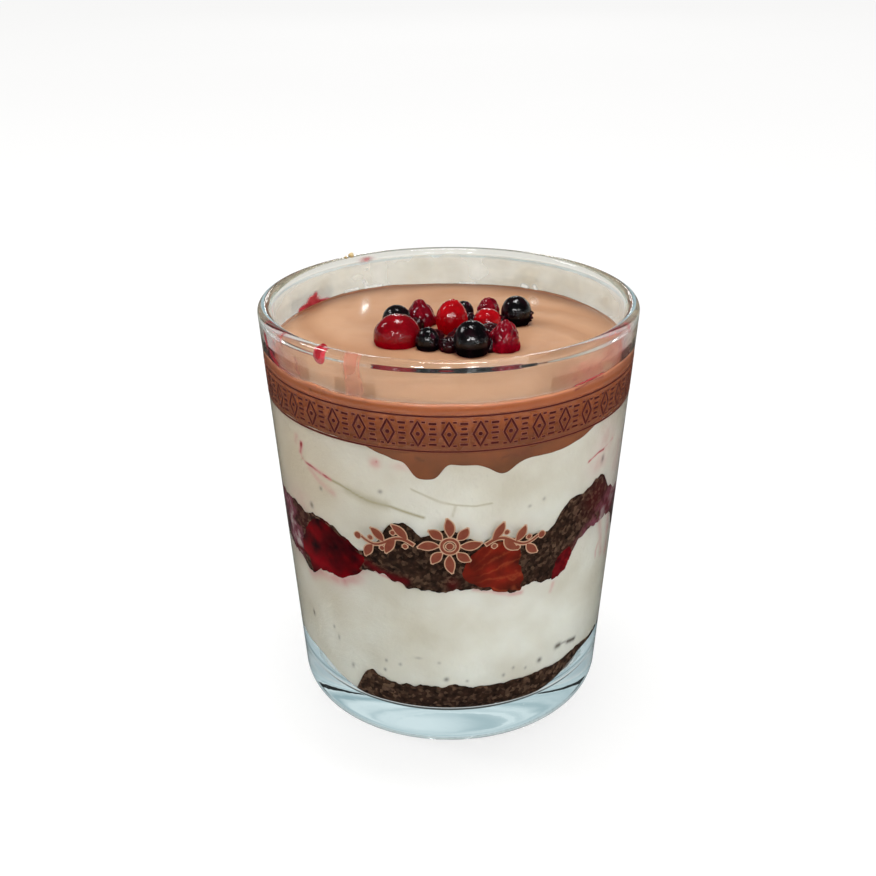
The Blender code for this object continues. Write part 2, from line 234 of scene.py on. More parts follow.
@dataclass
class Shell:
    """Points in millimetres with their faces, ready to become a mesh."""

    points: np.ndarray
    faces: list[np.ndarray]

    @classmethod
    def round(cls, rings: np.ndarray, low: np.ndarray, high: np.ndarray) -> "Shell":
        """A closed skin of rings from a low pole to a high pole, each a fan of triangles.

        Args:
            rings: points by ring and by place round it.
            low, high: the two poles.

        Returns:
            The closed shell.
        """
        rows, columns = rings.shape[:2]
        points = np.concatenate([rings.reshape(-1, 3), low[None], high[None]])
        here = np.arange(columns)
        after = (here + 1) % columns
        last = (rows - 1) * columns
        bottom = np.stack([np.full(columns, rows * columns), after, here], axis=-1)
        top = np.stack([np.full(columns, rows * columns + 1), last + here, last + after], axis=-1)
        return cls(points, [grid_faces(rows, columns, False, True), bottom, top])

    @classmethod
    def hoop(cls, rings: np.ndarray) -> "Shell":
        """A closed ring-shaped skin: a looped outline carried all the way round."""
        rows, columns = rings.shape[:2]
        return cls(rings.reshape(-1, 3), [grid_faces(rows, columns, True, True)])

    @classmethod
    def bar(cls, outlines: np.ndarray) -> "Shell":
        """A closed bar: a looped outline carried along a path, with a flat end each side.

        Args:
            outlines: points by step along the path and by place round the outline.

        Returns:
            The closed shell.
        """
        steps, corners = outlines.shape[:2]
        loop = np.arange(corners)
        ends = [loop[::-1][None], (loop + (steps - 1) * corners)[None]]
        return cls(outlines.reshape(-1, 3), [grid_faces(steps, corners, False, True), *ends])

    @classmethod
    def joined(cls, shells: Sequence["Shell"]) -> "Shell":
        """Several shells as one, with each one's point numbers moved past the last's.

        Args:
            shells: the shells, in order.

        Returns:
            The joined shell.
        """
        shift = 0
        faces: list[np.ndarray] = []
        for shell in shells:
            faces += [face + shift for face in shell.faces]
            shift += len(shell.points)
        return cls(np.concatenate([shell.points for shell in shells]), faces)

    def mesh(self, name: str, marks: dict[str, np.ndarray]) -> bpy.types.Mesh:
        """Put the shell in a mesh in metres, with a value at each point for every mark.

        Args:
            name: the mesh's name.
            marks: values for the points, by the attribute's name.

        Returns:
            The mesh.
        """
        corners = np.concatenate([face.ravel() for face in self.faces])
        sizes = np.concatenate([np.full(len(face), face.shape[1]) for face in self.faces])
        starts = np.concatenate([[0], np.cumsum(sizes)[:-1]])
        mesh = bpy.data.meshes.new(name)
        mesh.vertices.add(len(self.points))
        mesh.vertices.foreach_set("co", (self.points * MM).astype(np.float32).ravel())
        mesh.loops.add(len(corners))
        mesh.loops.foreach_set("vertex_index", corners.astype(np.int32))
        mesh.polygons.add(len(sizes))
        mesh.polygons.foreach_set("loop_start", starts.astype(np.int32))
        for mark, values in marks.items():
            layer = mesh.attributes.new(mark, "FLOAT", "POINT")
            layer.data.foreach_set("value", np.asarray(values, dtype=np.float32).ravel())
        mesh.update(calc_edges=True)
        mesh.validate()
        return mesh


# Shader trees.


class Tree:
    """Short calls for building one node tree."""

    def __init__(self, tree: bpy.types.NodeTree) -> None:
        """Take the tree and empty it."""
        self.tree = tree
        self.tree.nodes.clear()

    def add(self, kind: str, **values: object) -> bpy.types.Node:
        """Add a node, and set or link the sockets named by their words with underscores.

        Args:
            kind: the node's type after "ShaderNode".
            values: for a socket, a constant or an output to link; for a setting, its value.

        Returns:
            The node.
        """
        node = self.tree.nodes.new("ShaderNode" + kind)
        for word, value in values.items():
            if hasattr(node, word):
                setattr(node, word, value)
            else:
                self.feed(node.inputs[word.replace("_", " ")], value)
        return node

    def feed(self, socket: bpy.types.NodeSocket, value: object) -> None:
        """Link an output to the socket, or set the socket to a constant.

        Args:
            socket: the input.
            value: an output to link, or a constant.
        """
        if isinstance(value, bpy.types.NodeSocket):
            self.tree.links.new(value, socket)
        elif isinstance(value, tuple) and len(value) == 3 and socket.type == "RGBA":
            socket.default_value = (*value, 1.0)
        else:
            socket.default_value = value

    def mix(self, share: object, first: object, second: object) -> bpy.types.NodeSocket:
        """The colour that goes from first to second as share goes from 0 to 1.

        Args:
            share: the share of second.
            first, second: colours, or outputs to link.

        Returns:
            The mixed colour.
        """
        node = self.tree.nodes.new("ShaderNodeMix")
        node.data_type = "RGBA"
        for place, value in ((0, share), (6, first), (7, second)):
            self.feed(node.inputs[place], value)
        return node.outputs[2]

    def span(self, value: object, low: float, high: float, to: Place = (0.0, 1.0)) -> bpy.types.NodeSocket:
        """The value spread from low..high onto to, held at both ends.

        Args:
            value: the value.
            low, high: its span.
            to: the span that it goes onto.

        Returns:
            The spread value.
        """
        node = self.add("MapRange", From_Min=low, From_Max=high, To_Min=to[0], To_Max=to[1])
        self.feed(node.inputs["Value"], value)
        return node.outputs["Result"]

    def sum(self, first: object, second: object, operation: str = "ADD") -> bpy.types.NodeSocket:
        """Two values joined by a math operation.

        Args:
            first, second: values, or outputs to link.
            operation: the math node's.

        Returns:
            The result.
        """
        node = self.tree.nodes.new("ShaderNodeMath")
        node.operation = operation
        self.feed(node.inputs[0], first)
        self.feed(node.inputs[1], second)
        return node.outputs[0]

    def chain(self, shown: object, cases: Sequence[tuple[object, bpy.types.Node]]) -> bpy.types.NodeSocket:
        """Shaders laid over a first one in turn, each as far as its own share says.

        Args:
            shown: the first shader's output.
            cases: each further share and shader.

        Returns:
            The last mix.
        """
        for share, shader in cases:
            node = self.add("MixShader", Fac=share)
            self.feed(node.inputs[1], shown)
            self.feed(node.inputs[2], shader.outputs[0])
            shown = node.outputs[0]
        return shown

    def mark(self, name: str) -> bpy.types.NodeSocket:
        """The value of a point attribute."""
        return self.add("Attribute", attribute_name=name).outputs["Fac"]

    def group(self, made: bpy.types.NodeTree, **values: object) -> bpy.types.Node:
        """Place a shared group with its own values.

        Args:
            made: the group.
            values: what its inputs take, by name.

        Returns:
            The placed node.
        """
        node = self.tree.nodes.new("ShaderNodeGroup")
        node.node_tree = made
        for word, value in values.items():
            self.feed(node.inputs[word.replace("_", " ")], value)
        return node


class Effects:
    """The node groups that several finishes share, each built once."""

    def __init__(self) -> None:
        """Build every group."""
        self.mottle = self._mottle()
        self.crumb = self._crumb()
        self.ripple = self._ripple()

    @staticmethod
    def _sockets(name: str, inputs: dict[str, float], outputs: Sequence[str]) -> tuple[Tree, dict, dict]:
        """A new group with float inputs and outputs.

        Args:
            name: the group's name.
            inputs: default values by name.
            outputs: names.

        Returns:
            The tree, the inputs as sockets to link from, and the outputs to link to.
        """
        made = bpy.data.node_groups.new(name, "ShaderNodeTree")
        tree = Tree(made)
        for word, value in inputs.items():
            socket = made.interface.new_socket(word, in_out="INPUT", socket_type="NodeSocketFloat")
            socket.default_value = value
        for word in outputs:
            made.interface.new_socket(word, in_out="OUTPUT", socket_type="NodeSocketFloat")
        source = made.nodes.new("NodeGroupInput")
        drain = made.nodes.new("NodeGroupOutput")
        return tree, {s.name: s for s in source.outputs}, {s.name: s for s in drain.inputs}

    def _mottle(self) -> bpy.types.NodeTree:
        """Soft blotches: noise in the piece's own space, spread by a contrast.

        Returns:
            The group.
        """
        inputs = {"Scale": 100.0, "Detail": 3.0, "Contrast": 1.0}
        tree, given, out = self._sockets("soft_mottle", inputs, ("Mask",))
        place = tree.add("TexCoord").outputs["Object"]
        noise = tree.add("TexNoise", Vector=place, Scale=given["Scale"], Detail=given["Detail"])
        centred = tree.sum(noise.outputs["Fac"], 0.5, "SUBTRACT")
        spread = tree.sum(tree.sum(centred, given["Contrast"], "MULTIPLY"), 0.5)
        tree.feed(out["Mask"], tree.span(spread, 0.0, 1.0))
        return tree.tree

    def _crumb(self) -> bpy.types.NodeTree:
        """Crumb: cells for single grains, broken up by noise, with a tone for each grain.

        Returns:
            The group.
        """
        inputs = {"Scale": 900.0, "Break up": 0.5}
        tree, given, out = self._sockets("crumb_grain", inputs, ("Height", "Tone"))
        place = tree.add("TexCoord").outputs["Object"]
        cells = tree.add("TexVoronoi", Vector=place, Scale=given["Scale"])
        noise = tree.add("TexNoise", Vector=place, Scale=given["Scale"], Detail=4.0)
        broken = tree.sum(noise.outputs["Fac"], given["Break up"], "MULTIPLY")
        tree.feed(out["Height"], tree.sum(broken, cells.outputs["Distance"], "SUBTRACT"))
        split = tree.add("SeparateColor", Color=cells.outputs["Color"])
        tree.feed(out["Tone"], split.outputs[0])
        return tree.tree

    def _ripple(self) -> bpy.types.NodeTree:
        """Slow waves and fine ones added together, for wet and whipped surfaces.

        Returns:
            The group.
        """
        tree, given, out = self._sockets("slow_ripple", {"Scale": 80.0, "Fine": 0.3}, ("Height",))
        place = tree.add("TexCoord").outputs["Object"]
        slow = tree.add("TexNoise", Vector=place, Scale=given["Scale"], Detail=2.0)
        often = tree.sum(given["Scale"], 9.0, "MULTIPLY")
        fine = tree.add("TexNoise", Vector=place, Scale=often, Detail=2.0)
        part = tree.sum(fine.outputs["Fac"], given["Fine"], "MULTIPLY")
        tree.feed(out["Height"], tree.sum(slow.outputs["Fac"], part))
        return tree.tree


@dataclass(frozen=True)
class Finish:
    """A named finish, which builds its own material."""

    name: str

    def material(self, effects: Effects) -> bpy.types.Material:
        """Make the material: an empty tree, the finish's shader and the output.

        Args:
            effects: the shared groups.

        Returns:
            The material.
        """
        made = bpy.data.materials.new(self.name)
        made.use_nodes = True
        tree = Tree(made.node_tree)
        surface = self.surface(tree, effects)
        tree.feed(tree.add("OutputMaterial").inputs["Surface"], surface)
        return made

    def surface(self, tree: Tree, effects: Effects) -> bpy.types.NodeSocket:
        """Build the shader and give its output."""
        raise NotImplementedError

    @staticmethod
    def bump(tree: Tree, height: object, strength: float, distance: float) -> bpy.types.NodeSocket:
        """The normal of a height, in millimetres of distance."""
        node = tree.add("Bump", Strength=strength, Distance=distance * MM, Height=height)
        return node.outputs["Normal"]

    @staticmethod
    def blotch(
        tree: Tree, effects: Effects, scale: float, contrast: float, detail: float = 3.0
    ) -> bpy.types.NodeSocket:
        """The shared mottle's mask, with this finish's own values."""
        return tree.group(effects.mottle, Scale=scale, Detail=detail, Contrast=contrast).outputs["Mask"]

    @staticmethod
    def rippled(
        tree: Tree, effects: Effects, scale: float, fine: float, strength: float, distance: float
    ) -> bpy.types.NodeSocket:
        """The normal of the shared ripple, with distance in millimetres."""
        height = tree.group(effects.ripple, Scale=scale, Fine=fine).outputs["Height"]
        return Finish.bump(tree, height, strength, distance)


@dataclass(frozen=True)
class ClearGlass(Finish):
    """Polished glass that lets light reach what is inside it."""

    tint: Colour = paint(250, 252, 251)
    shade: Colour = (0.93, 0.95, 0.95)
    # The dark and pale colours of the painted reflection that glows in the glass.
    painted_reflection_dark: Colour = (0.30, 0.44, 0.48)
    painted_reflection_pale: Colour = (0.66, 0.80, 0.83)
    mirrorings: float = 2.5
    streaks: Point = (45.0, 45.0, 420.0)
    waviness: float = 0.05

    def surface(self, tree: Tree, effects: Effects) -> bpy.types.NodeSocket:
        """Glass that lets shadow rays straight through, a little tinted.

        A ray mirrored inside it more often than its mirrorings sees a painted reflection:
        soft glowing streaks that run round it.

        Args:
            tree: the material's tree.
            effects: the shared groups.

        Returns:
            The shader's output.
        """
        haze = self.blotch(tree, effects, 45.0, 2.0, 2.0)
        glass = tree.add(
            "BsdfPrincipled",
            Base_Color=self.tint,
            Roughness=tree.span(haze, 0.3, 1.0, (0.0, 0.03)),
            IOR=1.5,
            Transmission_Weight=1.0,
            Normal=self.rippled(tree, effects, 70.0, 0.05, self.waviness, 1.0),
        )
        path = tree.add("LightPath").outputs
        often = tree.sum(path["Glossy Depth"], self.mirrorings, "GREATER_THAN")
        place = tree.add("Mapping", Vector=tree.add("TexCoord").outputs["Object"], Scale=self.streaks)
        drift = tree.add("TexNoise", Vector=place.outputs[0], Scale=1.0, Detail=2.0).outputs["Fac"]
        # Painted reflection: an emission of soft streaks stands in for rays mirrored inside the glass.
        painted_glow = tree.mix(tree.span(drift, 0.36, 0.62), self.painted_reflection_dark, self.painted_reflection_pale)
        soft = tree.add("Emission", Color=painted_glow)
        clear = tree.add("BsdfTransparent", Color=self.shade)
        return tree.chain(glass.outputs[0], ((often, soft), (path["Is Shadow Ray"], clear)))


@dataclass(frozen=True)
class SoftCream(Finish):
    """Thick cream, faintly uneven: juice, painted shade in creases and specks where they are marked."""

    pale: Colour = paint(244, 241, 232)
    deep: Colour = paint(220, 212, 196)
    blush: Colour = paint(222, 160, 156)
    juice: Colour = paint(158, 16, 32)
    crease_shade: Colour = paint(160, 144, 92)
    warm: Colour = paint(224, 202, 172)
    speck: Colour = paint(70, 54, 42)

    def surface(self, tree: Tree, effects: Effects) -> bpy.types.NodeSocket:
        """Two creams mottled together, then each mark painted over them in turn.

        Weak juice is a blush, and strong juice is crimson.

        Args:
            tree: the material's tree.
            effects: the shared groups.

        Returns:
            The shader's output.
        """
        blotch = self.blotch(tree, effects, 70.0, 2.4)
        colour = tree.mix(blotch, self.deep, self.pale)
        colour = tree.mix(tree.mark("warm"), colour, self.warm)
        # Painted shade: the crease colour darkens the cream along its folds.
        colour = tree.mix(tree.mark("crease_shade"), colour, self.crease_shade)
        stain = tree.mark("juice")
        colour = tree.mix(tree.span(stain, 0.0, 0.5), colour, self.blush)
        colour = tree.mix(tree.span(stain, 0.4, 0.95), colour, self.juice)
        colour = tree.mix(tree.mark("speck"), colour, self.speck)
        return tree.add(
            "BsdfPrincipled",
            Base_Color=colour,
            Roughness=0.55,
            Specular_IOR_Level=0.0,
            Subsurface_Weight=0.12,
            Subsurface_Radius=(0.004, 0.0035, 0.0025),
            Subsurface_Scale=0.4,
            Normal=self.rippled(tree, effects, 110.0, 0.3, 0.5, 1.2),
        ).outputs[0]


@dataclass(frozen=True)
class WhippedChocolate(Finish):
    """Chocolate cream: tan where the air gets at it, and darker where it wets the glass."""

    top: Colour = paint(184, 136, 102)
    # The pale tone that the swirl's painted light puts on the ridges.
    smear: Colour = paint(206, 160, 126)
    side_high: Colour = paint(178, 96, 54)
    side_low: Colour = paint(112, 66, 38)
    # Painted highlight: the pale orange line where the top meets the glass.
    edge: Colour = paint(238, 150, 104)
    juice: Colour = paint(128, 18, 30)
    # The colour of the painted shadow by the glass, and of the dark marks.
    dark: Colour = paint(104, 62, 38)

    def surface(self, tree: Tree, effects: Effects) -> bpy.types.NodeSocket:
        """The top's tan goes to the side's brown, which deepens downwards.

        Args:
            tree: the material's tree.
            effects: the shared groups.

        Returns:
            The shader's output.
        """
        blotch = self.blotch(tree, effects, 90.0, 2.2)
        # Painted light and shade: the swirl mark pales the ridges and darkens the hollows; the blotch is
        # random tone.
        swirled = tree.sum(tree.mark("swirl"), tree.sum(blotch, 0.25, "MULTIPLY"))
        top = tree.mix(tree.span(swirled, 0.1, 1.15), self.top, self.smear)
        side = tree.mix(tree.mark("depth"), self.side_high, self.side_low)
        side = tree.mix(tree.span(blotch, 0.3, 1.0, (0.0, 0.4)), side, self.side_high)
        colour = tree.mix(tree.mark("wet"), top, side)
        # Painted highlight along the top's edge at the glass.
        colour = tree.mix(tree.mark("edge"), colour, self.edge)
        # Painted shadow: the brown band by the glass darkens the top here.
        colour = tree.mix(tree.mark("dark"), colour, self.dark)
        colour = tree.mix(tree.mark("juice"), colour, self.juice)
        gleam = tree.mark("gleam")
        matte = tree.span(blotch, 0.0, 1.0, (0.38, 0.5))
        return tree.add(
            "BsdfPrincipled",
            Base_Color=colour,
            Roughness=tree.sum(matte, tree.sum(gleam, 0.3, "MULTIPLY"), "SUBTRACT"),
            Specular_IOR_Level=tree.span(gleam, 0.0, 1.0, (0.06, 0.8)),
            Subsurface_Weight=0.06,
            Subsurface_Radius=(0.003, 0.0015, 0.0008),
            Subsurface_Scale=0.4,
            Normal=self.rippled(tree, effects, 150.0, 0.35, 0.2, 0.35),
        ).outputs[0]


@dataclass(frozen=True)
class DarkCake(Finish):
    """Crumbly dark cake, redder where juice has soaked in and pale where cream is smeared."""

    deep: Colour = paint(22, 12, 9)
    middle: Colour = paint(76, 52, 40)
    grain: Colour = paint(122, 94, 76)
    juice: Colour = paint(96, 8, 18)
    smear: Colour = paint(150, 82, 98)
    cream: Colour = paint(212, 188, 184)

    def surface(self, tree: Tree, effects: Effects) -> bpy.types.NodeSocket:
        """Grains of three browns: painted shade in the pits, painted light on the crumbs that stand out.

        Args:
            tree: the material's tree.
            effects: the shared groups.

        Returns:
            The shader's output.
        """
        crumb = tree.group(effects.crumb, Scale=1250.0, Break_up=0.9)
        blotch = self.blotch(tree, effects, 750.0, 2.2, 4.0)
        raised = tree.mark("raised")
        # Painted shade: low relief pulls the colour towards deep, so the pits are darker.
        colour = tree.mix(tree.sum(raised, blotch, "MULTIPLY"), self.deep, self.middle)
        # Painted light: the grain's random tone shows only on raised crumbs.
        bright = tree.span(tree.sum(crumb.outputs["Tone"], raised, "MULTIPLY"), 0.45, 0.95, (0.0, 0.75))
        colour = tree.mix(bright, colour, self.grain)
        smear = tree.mark("smear")
        colour = tree.mix(tree.span(smear, 0.1, 0.5), colour, self.smear)
        colour = tree.mix(tree.span(smear, 0.5, 0.95), colour, self.cream)
        colour = tree.mix(tree.mark("juice"), colour, self.juice)
        return tree.add(
            "BsdfPrincipled",
            Base_Color=colour,
            Roughness=tree.span(blotch, 0.0, 1.0, (0.6, 0.9)),
            Specular_IOR_Level=0.0,
            Normal=self.bump(tree, crumb.outputs["Height"], 0.7, 0.35),
        ).outputs[0]


@dataclass(frozen=True)
class CutFruit(Finish):
    """Wet fruit flesh or dark jelly against the glass."""

    flesh: Colour = paint(120, 8, 12)
    shade: Colour = paint(58, 3, 8)
    vein: Colour = paint(190, 84, 60)

    def surface(self, tree: Tree, effects: Effects) -> bpy.types.NodeSocket:
        """Flesh and shade mottled together, with the marked veins and the darker rim.

        Args:
            tree: the material's tree.
            effects: the shared groups.

        Returns:
            The shader's output.
        """
        blotch = self.blotch(tree, effects, 220.0, 2.5)
        colour = tree.mix(blotch, self.shade, self.flesh)
        colour = tree.mix(tree.mark("vein"), colour, self.vein)
        colour = tree.mix(tree.mark("shade"), colour, self.shade)
        return tree.add(
            "BsdfPrincipled",
            Base_Color=colour,
            Roughness=tree.span(blotch, 0.0, 1.0, (0.2, 0.35)),
            Specular_IOR_Level=0.0,
            Subsurface_Weight=0.1,
            Subsurface_Radius=(0.002, 0.0004, 0.0003),
            Subsurface_Scale=0.5,
            Normal=self.rippled(tree, effects, 300.0, 0.4, 0.3, 0.3),
        ).outputs[0]


@dataclass(frozen=True)
class BerrySkin(Finish):
    """A wet berry's skin: two depths of colour, darker in its folds, under a glossy coat."""

    light: Colour
    dark: Colour
    fold: Colour
    scatter: float = 0.15
    gloss: float = 0.12

    def surface(self, tree: Tree, effects: Effects) -> bpy.types.NodeSocket:
        """Mottled skin with dark folds and a wrinkled clear coat, duller where it faces down.

        Args:
            tree: the material's tree.
            effects: the shared groups.

        Returns:
            The shader's output.
        """
        blotch = self.blotch(tree, effects, 300.0, 1.5)
        colour = tree.mix(blotch, self.dark, self.light)
        # The fold colour: a withered crown on round berries, and painted shade between a raspberry's balls.
        colour = tree.mix(tree.mark("fold"), colour, self.fold)
        normal = self.rippled(tree, effects, 560.0, 0.15, 0.3, 0.35)
        return tree.add(
            "BsdfPrincipled",
            Base_Color=colour,
            Roughness=tree.span(blotch, 0.0, 1.0, (self.gloss, self.gloss + 0.15)),
            Subsurface_Weight=self.scatter,
            Subsurface_Radius=(0.002, 0.0003, 0.0003),
            Subsurface_Scale=0.8,
            Specular_IOR_Level=tree.span(tree.mark("low"), 0.0, 1.0, (0.1, 0.0)),
            Coat_Weight=tree.span(tree.mark("low"), 0.0, 1.0, (1.0, 0.04)),
            Coat_Roughness=0.02,
            Coat_IOR=1.34,
            Normal=normal,
            Coat_Normal=normal,
        ).outputs[0]


@dataclass(frozen=True)
class GlassPrint(Finish):
    """Enamel printed on the glass, a little worn and uneven."""

    ink: Colour = paint(88, 26, 20)
    thin: Colour = paint(120, 50, 40)

    def surface(self, tree: Tree, effects: Effects) -> bpy.types.NodeSocket:
        """Ink that is thinner in places, with a slightly uneven gloss.

        Args:
            tree: the material's tree.
            effects: the shared groups.

        Returns:
            The shader's output.
        """
        blotch = self.blotch(tree, effects, 900.0, 2.5)
        return tree.add(
            "BsdfPrincipled",
            Base_Color=tree.mix(blotch, self.ink, self.thin),
            Roughness=tree.span(blotch, 0.0, 1.0, (0.35, 0.55)),
            Specular_IOR_Level=0.35,
        ).outputs[0]


@dataclass(frozen=True)
class ThinSmear(Finish):
    """A film of juice or cream on the glass, as thick as its mark says."""

    colour: Colour = paint(180, 18, 40)
    weak: Colour = paint(210, 74, 86)
    roughness: float = 0.3

    def surface(self, tree: Tree, effects: Effects) -> bpy.types.NodeSocket:
        """The film shows where its cover mark is high and lets sight through elsewhere.

        Args:
            tree: the material's tree.
            effects: the shared groups.

        Returns:
            The shader's output.
        """
        cover = tree.mark("cover")
        blotch = self.blotch(tree, effects, 400.0, 2.0, 4.0)
        return tree.add(
            "BsdfPrincipled",
            Base_Color=tree.mix(tree.sum(cover, blotch, "MULTIPLY"), self.weak, self.colour),
            Roughness=tree.span(blotch, 0.0, 1.0, (self.roughness, self.roughness + 0.15)),
            Specular_IOR_Level=0.0,
            Alpha=cover,
        ).outputs[0]


@dataclass(frozen=True)
class PaleFloor(Finish):
    """The plain floor under the part."""

    # Colours seen only through the glass: painted shadow under the part and in a ring round it.
    under: Colour = (0.07, 0.08, 0.08)
    beside: Colour = (0.62, 0.66, 0.66)
    shade: Colour = (0.34, 0.37, 0.36)
    far: Colour = (0.82, 0.80, 0.75)

    def surface(self, tree: Tree, effects: Effects) -> bpy.types.NodeSocket:
        """A bright sweep to the eye, dark in a gloss and matte grey to soft light.

        Through glass it glows with painted shadow and reflection: dark under the part, cool near it
        with streaks, and its colour goes from ring to ring by the distance from the part's axis, in metres.

        Args:
            tree: the material's tree.
            effects: the shared groups.

        Returns:
            The shader's output.
        """
        blotch = self.blotch(tree, effects, 3.0, 1.0, 2.0)
        seen = tree.add(
            "BsdfPrincipled",
            Base_Color=tree.mix(blotch, (0.30, 0.30, 0.30), (0.32, 0.32, 0.32)),
            Roughness=0.9,
            Specular_IOR_Level=0.0,
            Emission_Color=(1.0, 1.0, 1.0),
            Emission_Strength=0.74,
        )
        felt = tree.add("BsdfDiffuse", Color=tree.mix(blotch, (0.5, 0.51, 0.51), (0.54, 0.55, 0.55)))
        mirrored = tree.add("BsdfDiffuse", Color=tree.mix(blotch, (0.04, 0.04, 0.04), (0.05, 0.05, 0.05)))
        streaks = self.blotch(tree, effects, 130.0, 2.4, 2.0)
        # Painted reflection: cool streaks seen through the glass near the part.
        near = tree.mix(streaks, (0.40, 0.52, 0.56), (0.72, 0.82, 0.84))
        place = tree.add("VectorMath", operation="LENGTH", Vector=tree.add("TexCoord").outputs["Object"])
        colour: object = self.under
        for start, end, outside in (
            (0.030, 0.031, self.beside),
            (0.036, 0.040, near),
            (0.056, 0.062, self.shade),
            (0.080, 0.115, self.far),
        ):
            colour = tree.mix(tree.span(place.outputs["Value"], start, end), colour, outside)
        # The rings glow only to rays that come through the glass: painted shadow and reflection.
        through = tree.add("Emission", Color=colour)
        path = tree.add("LightPath").outputs
        cases = (
            (path["Is Glossy Ray"], mirrored),
            (path["Is Transmission Ray"], through),
            (path["Is Camera Ray"], seen),
        )
        return tree.chain(felt.outputs[0], cases)


@dataclass
class Bench:
    """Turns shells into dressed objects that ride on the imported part."""

    effects: Effects
    made: list[bpy.types.Object] = field(default_factory=list)
    mixed: dict[Finish, bpy.types.Material] = field(default_factory=dict)

    def material(self, finish: Finish) -> bpy.types.Material:
        """The finish's material, made when it is first asked for.

        Args:
            effects: the shared groups.

        Returns:
            The material.
        """
        if finish not in self.mixed:
            self.mixed[finish] = finish.material(self.effects)
        return self.mixed[finish]

    def place(
        self,
        name: str,
        shell: Shell,
        finish: Finish,
        slot: str = "",
        nodes: Sequence[str] = (),
        marks: dict[str, np.ndarray] | None = None,
        sharp: float = 180.0,
    ) -> bpy.types.Object:
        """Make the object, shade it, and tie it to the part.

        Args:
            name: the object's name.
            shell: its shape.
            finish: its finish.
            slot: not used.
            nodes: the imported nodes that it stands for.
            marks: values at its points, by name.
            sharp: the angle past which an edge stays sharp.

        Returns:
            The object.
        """
        mesh = shell.mesh(name, marks or {})
        mesh.materials.append(self.material(finish))
        mesh.shade_smooth()
        if sharp < 180.0:
            mesh.set_sharp_from_angle(angle=math.radians(sharp))
        piece = bpy.data.objects.new(name, mesh)
        bpy.context.scene.collection.objects.link(piece)
        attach(piece, "root")
        if nodes:
            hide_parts(*nodes)
        self.made.append(piece)
        LOG.info("%s: %d points", name, len(shell.points))
        return piece


# Marks on a surface that touches the glass.


@dataclass(frozen=True)
class Streak:
    """A soft line through places (azimuth, height) on the glass."""

    path: tuple[Place, ...]
    width: float
    strength: float = 1.0
    sharpness: float = 2.0

    def at(self, azimuth: np.ndarray, height: np.ndarray) -> np.ndarray:
        """The strength at each place: a bell of the distance to the nearest stretch.

        Args:
            azimuth, height: the places.

        Returns:
            Values from 0 to the strength.
        """
        scale = TUMBLER.degree
        nearest = np.full(np.shape(azimuth), 1e9)
        for (turn_a, high_a), (turn_b, high_b) in zip(self.path, self.path[1:]):
            along = np.array([(turn_b - turn_a) * scale, high_b - high_a])
            x, y = turn_between(azimuth, turn_a) * scale, height - high_a
            share = np.clip((x * along[0] + y * along[1]) / (along @ along), 0.0, 1.0)
            nearest = np.minimum(nearest, np.hypot(x - share * along[0], y - share * along[1]))
        return self.strength * bell(nearest, self.width / 2.0, self.sharpness)


@dataclass(frozen=True)
class Spot:
    """A soft round or long spot on the glass."""

    azimuth: float
    height: float
    half_turn: float
    half_height: float
    strength: float = 1.0
    sharpness: float = 2.0

    def at(self, azimuth: np.ndarray, height: np.ndarray) -> np.ndarray:
        """The strength at each place: a bell of the distance in half sizes.

        Args:
            azimuth, height: the places.

        Returns:
            Values from 0 to the strength.
        """
        across = turn_between(azimuth, self.azimuth) / self.half_turn
        up = (height - self.height) / self.half_height
        return self.strength * bell(np.hypot(across, up), 1.0, self.sharpness)


Mark = Streak | Spot


def strongest(marks: Sequence[Mark], azimuth: np.ndarray, height: np.ndarray) -> np.ndarray:
    """The strongest of several marks at each place, at most 1.

    Args:
        marks: the marks.
        azimuth, height: the places.

    Returns:
        Values from 0 to 1.
    """
    total = np.zeros(np.broadcast(azimuth, height).shape)
    for mark in marks:
        total = np.maximum(total, mark.at(azimuth, height))
    return np.clip(total, 0.0, 1.0)


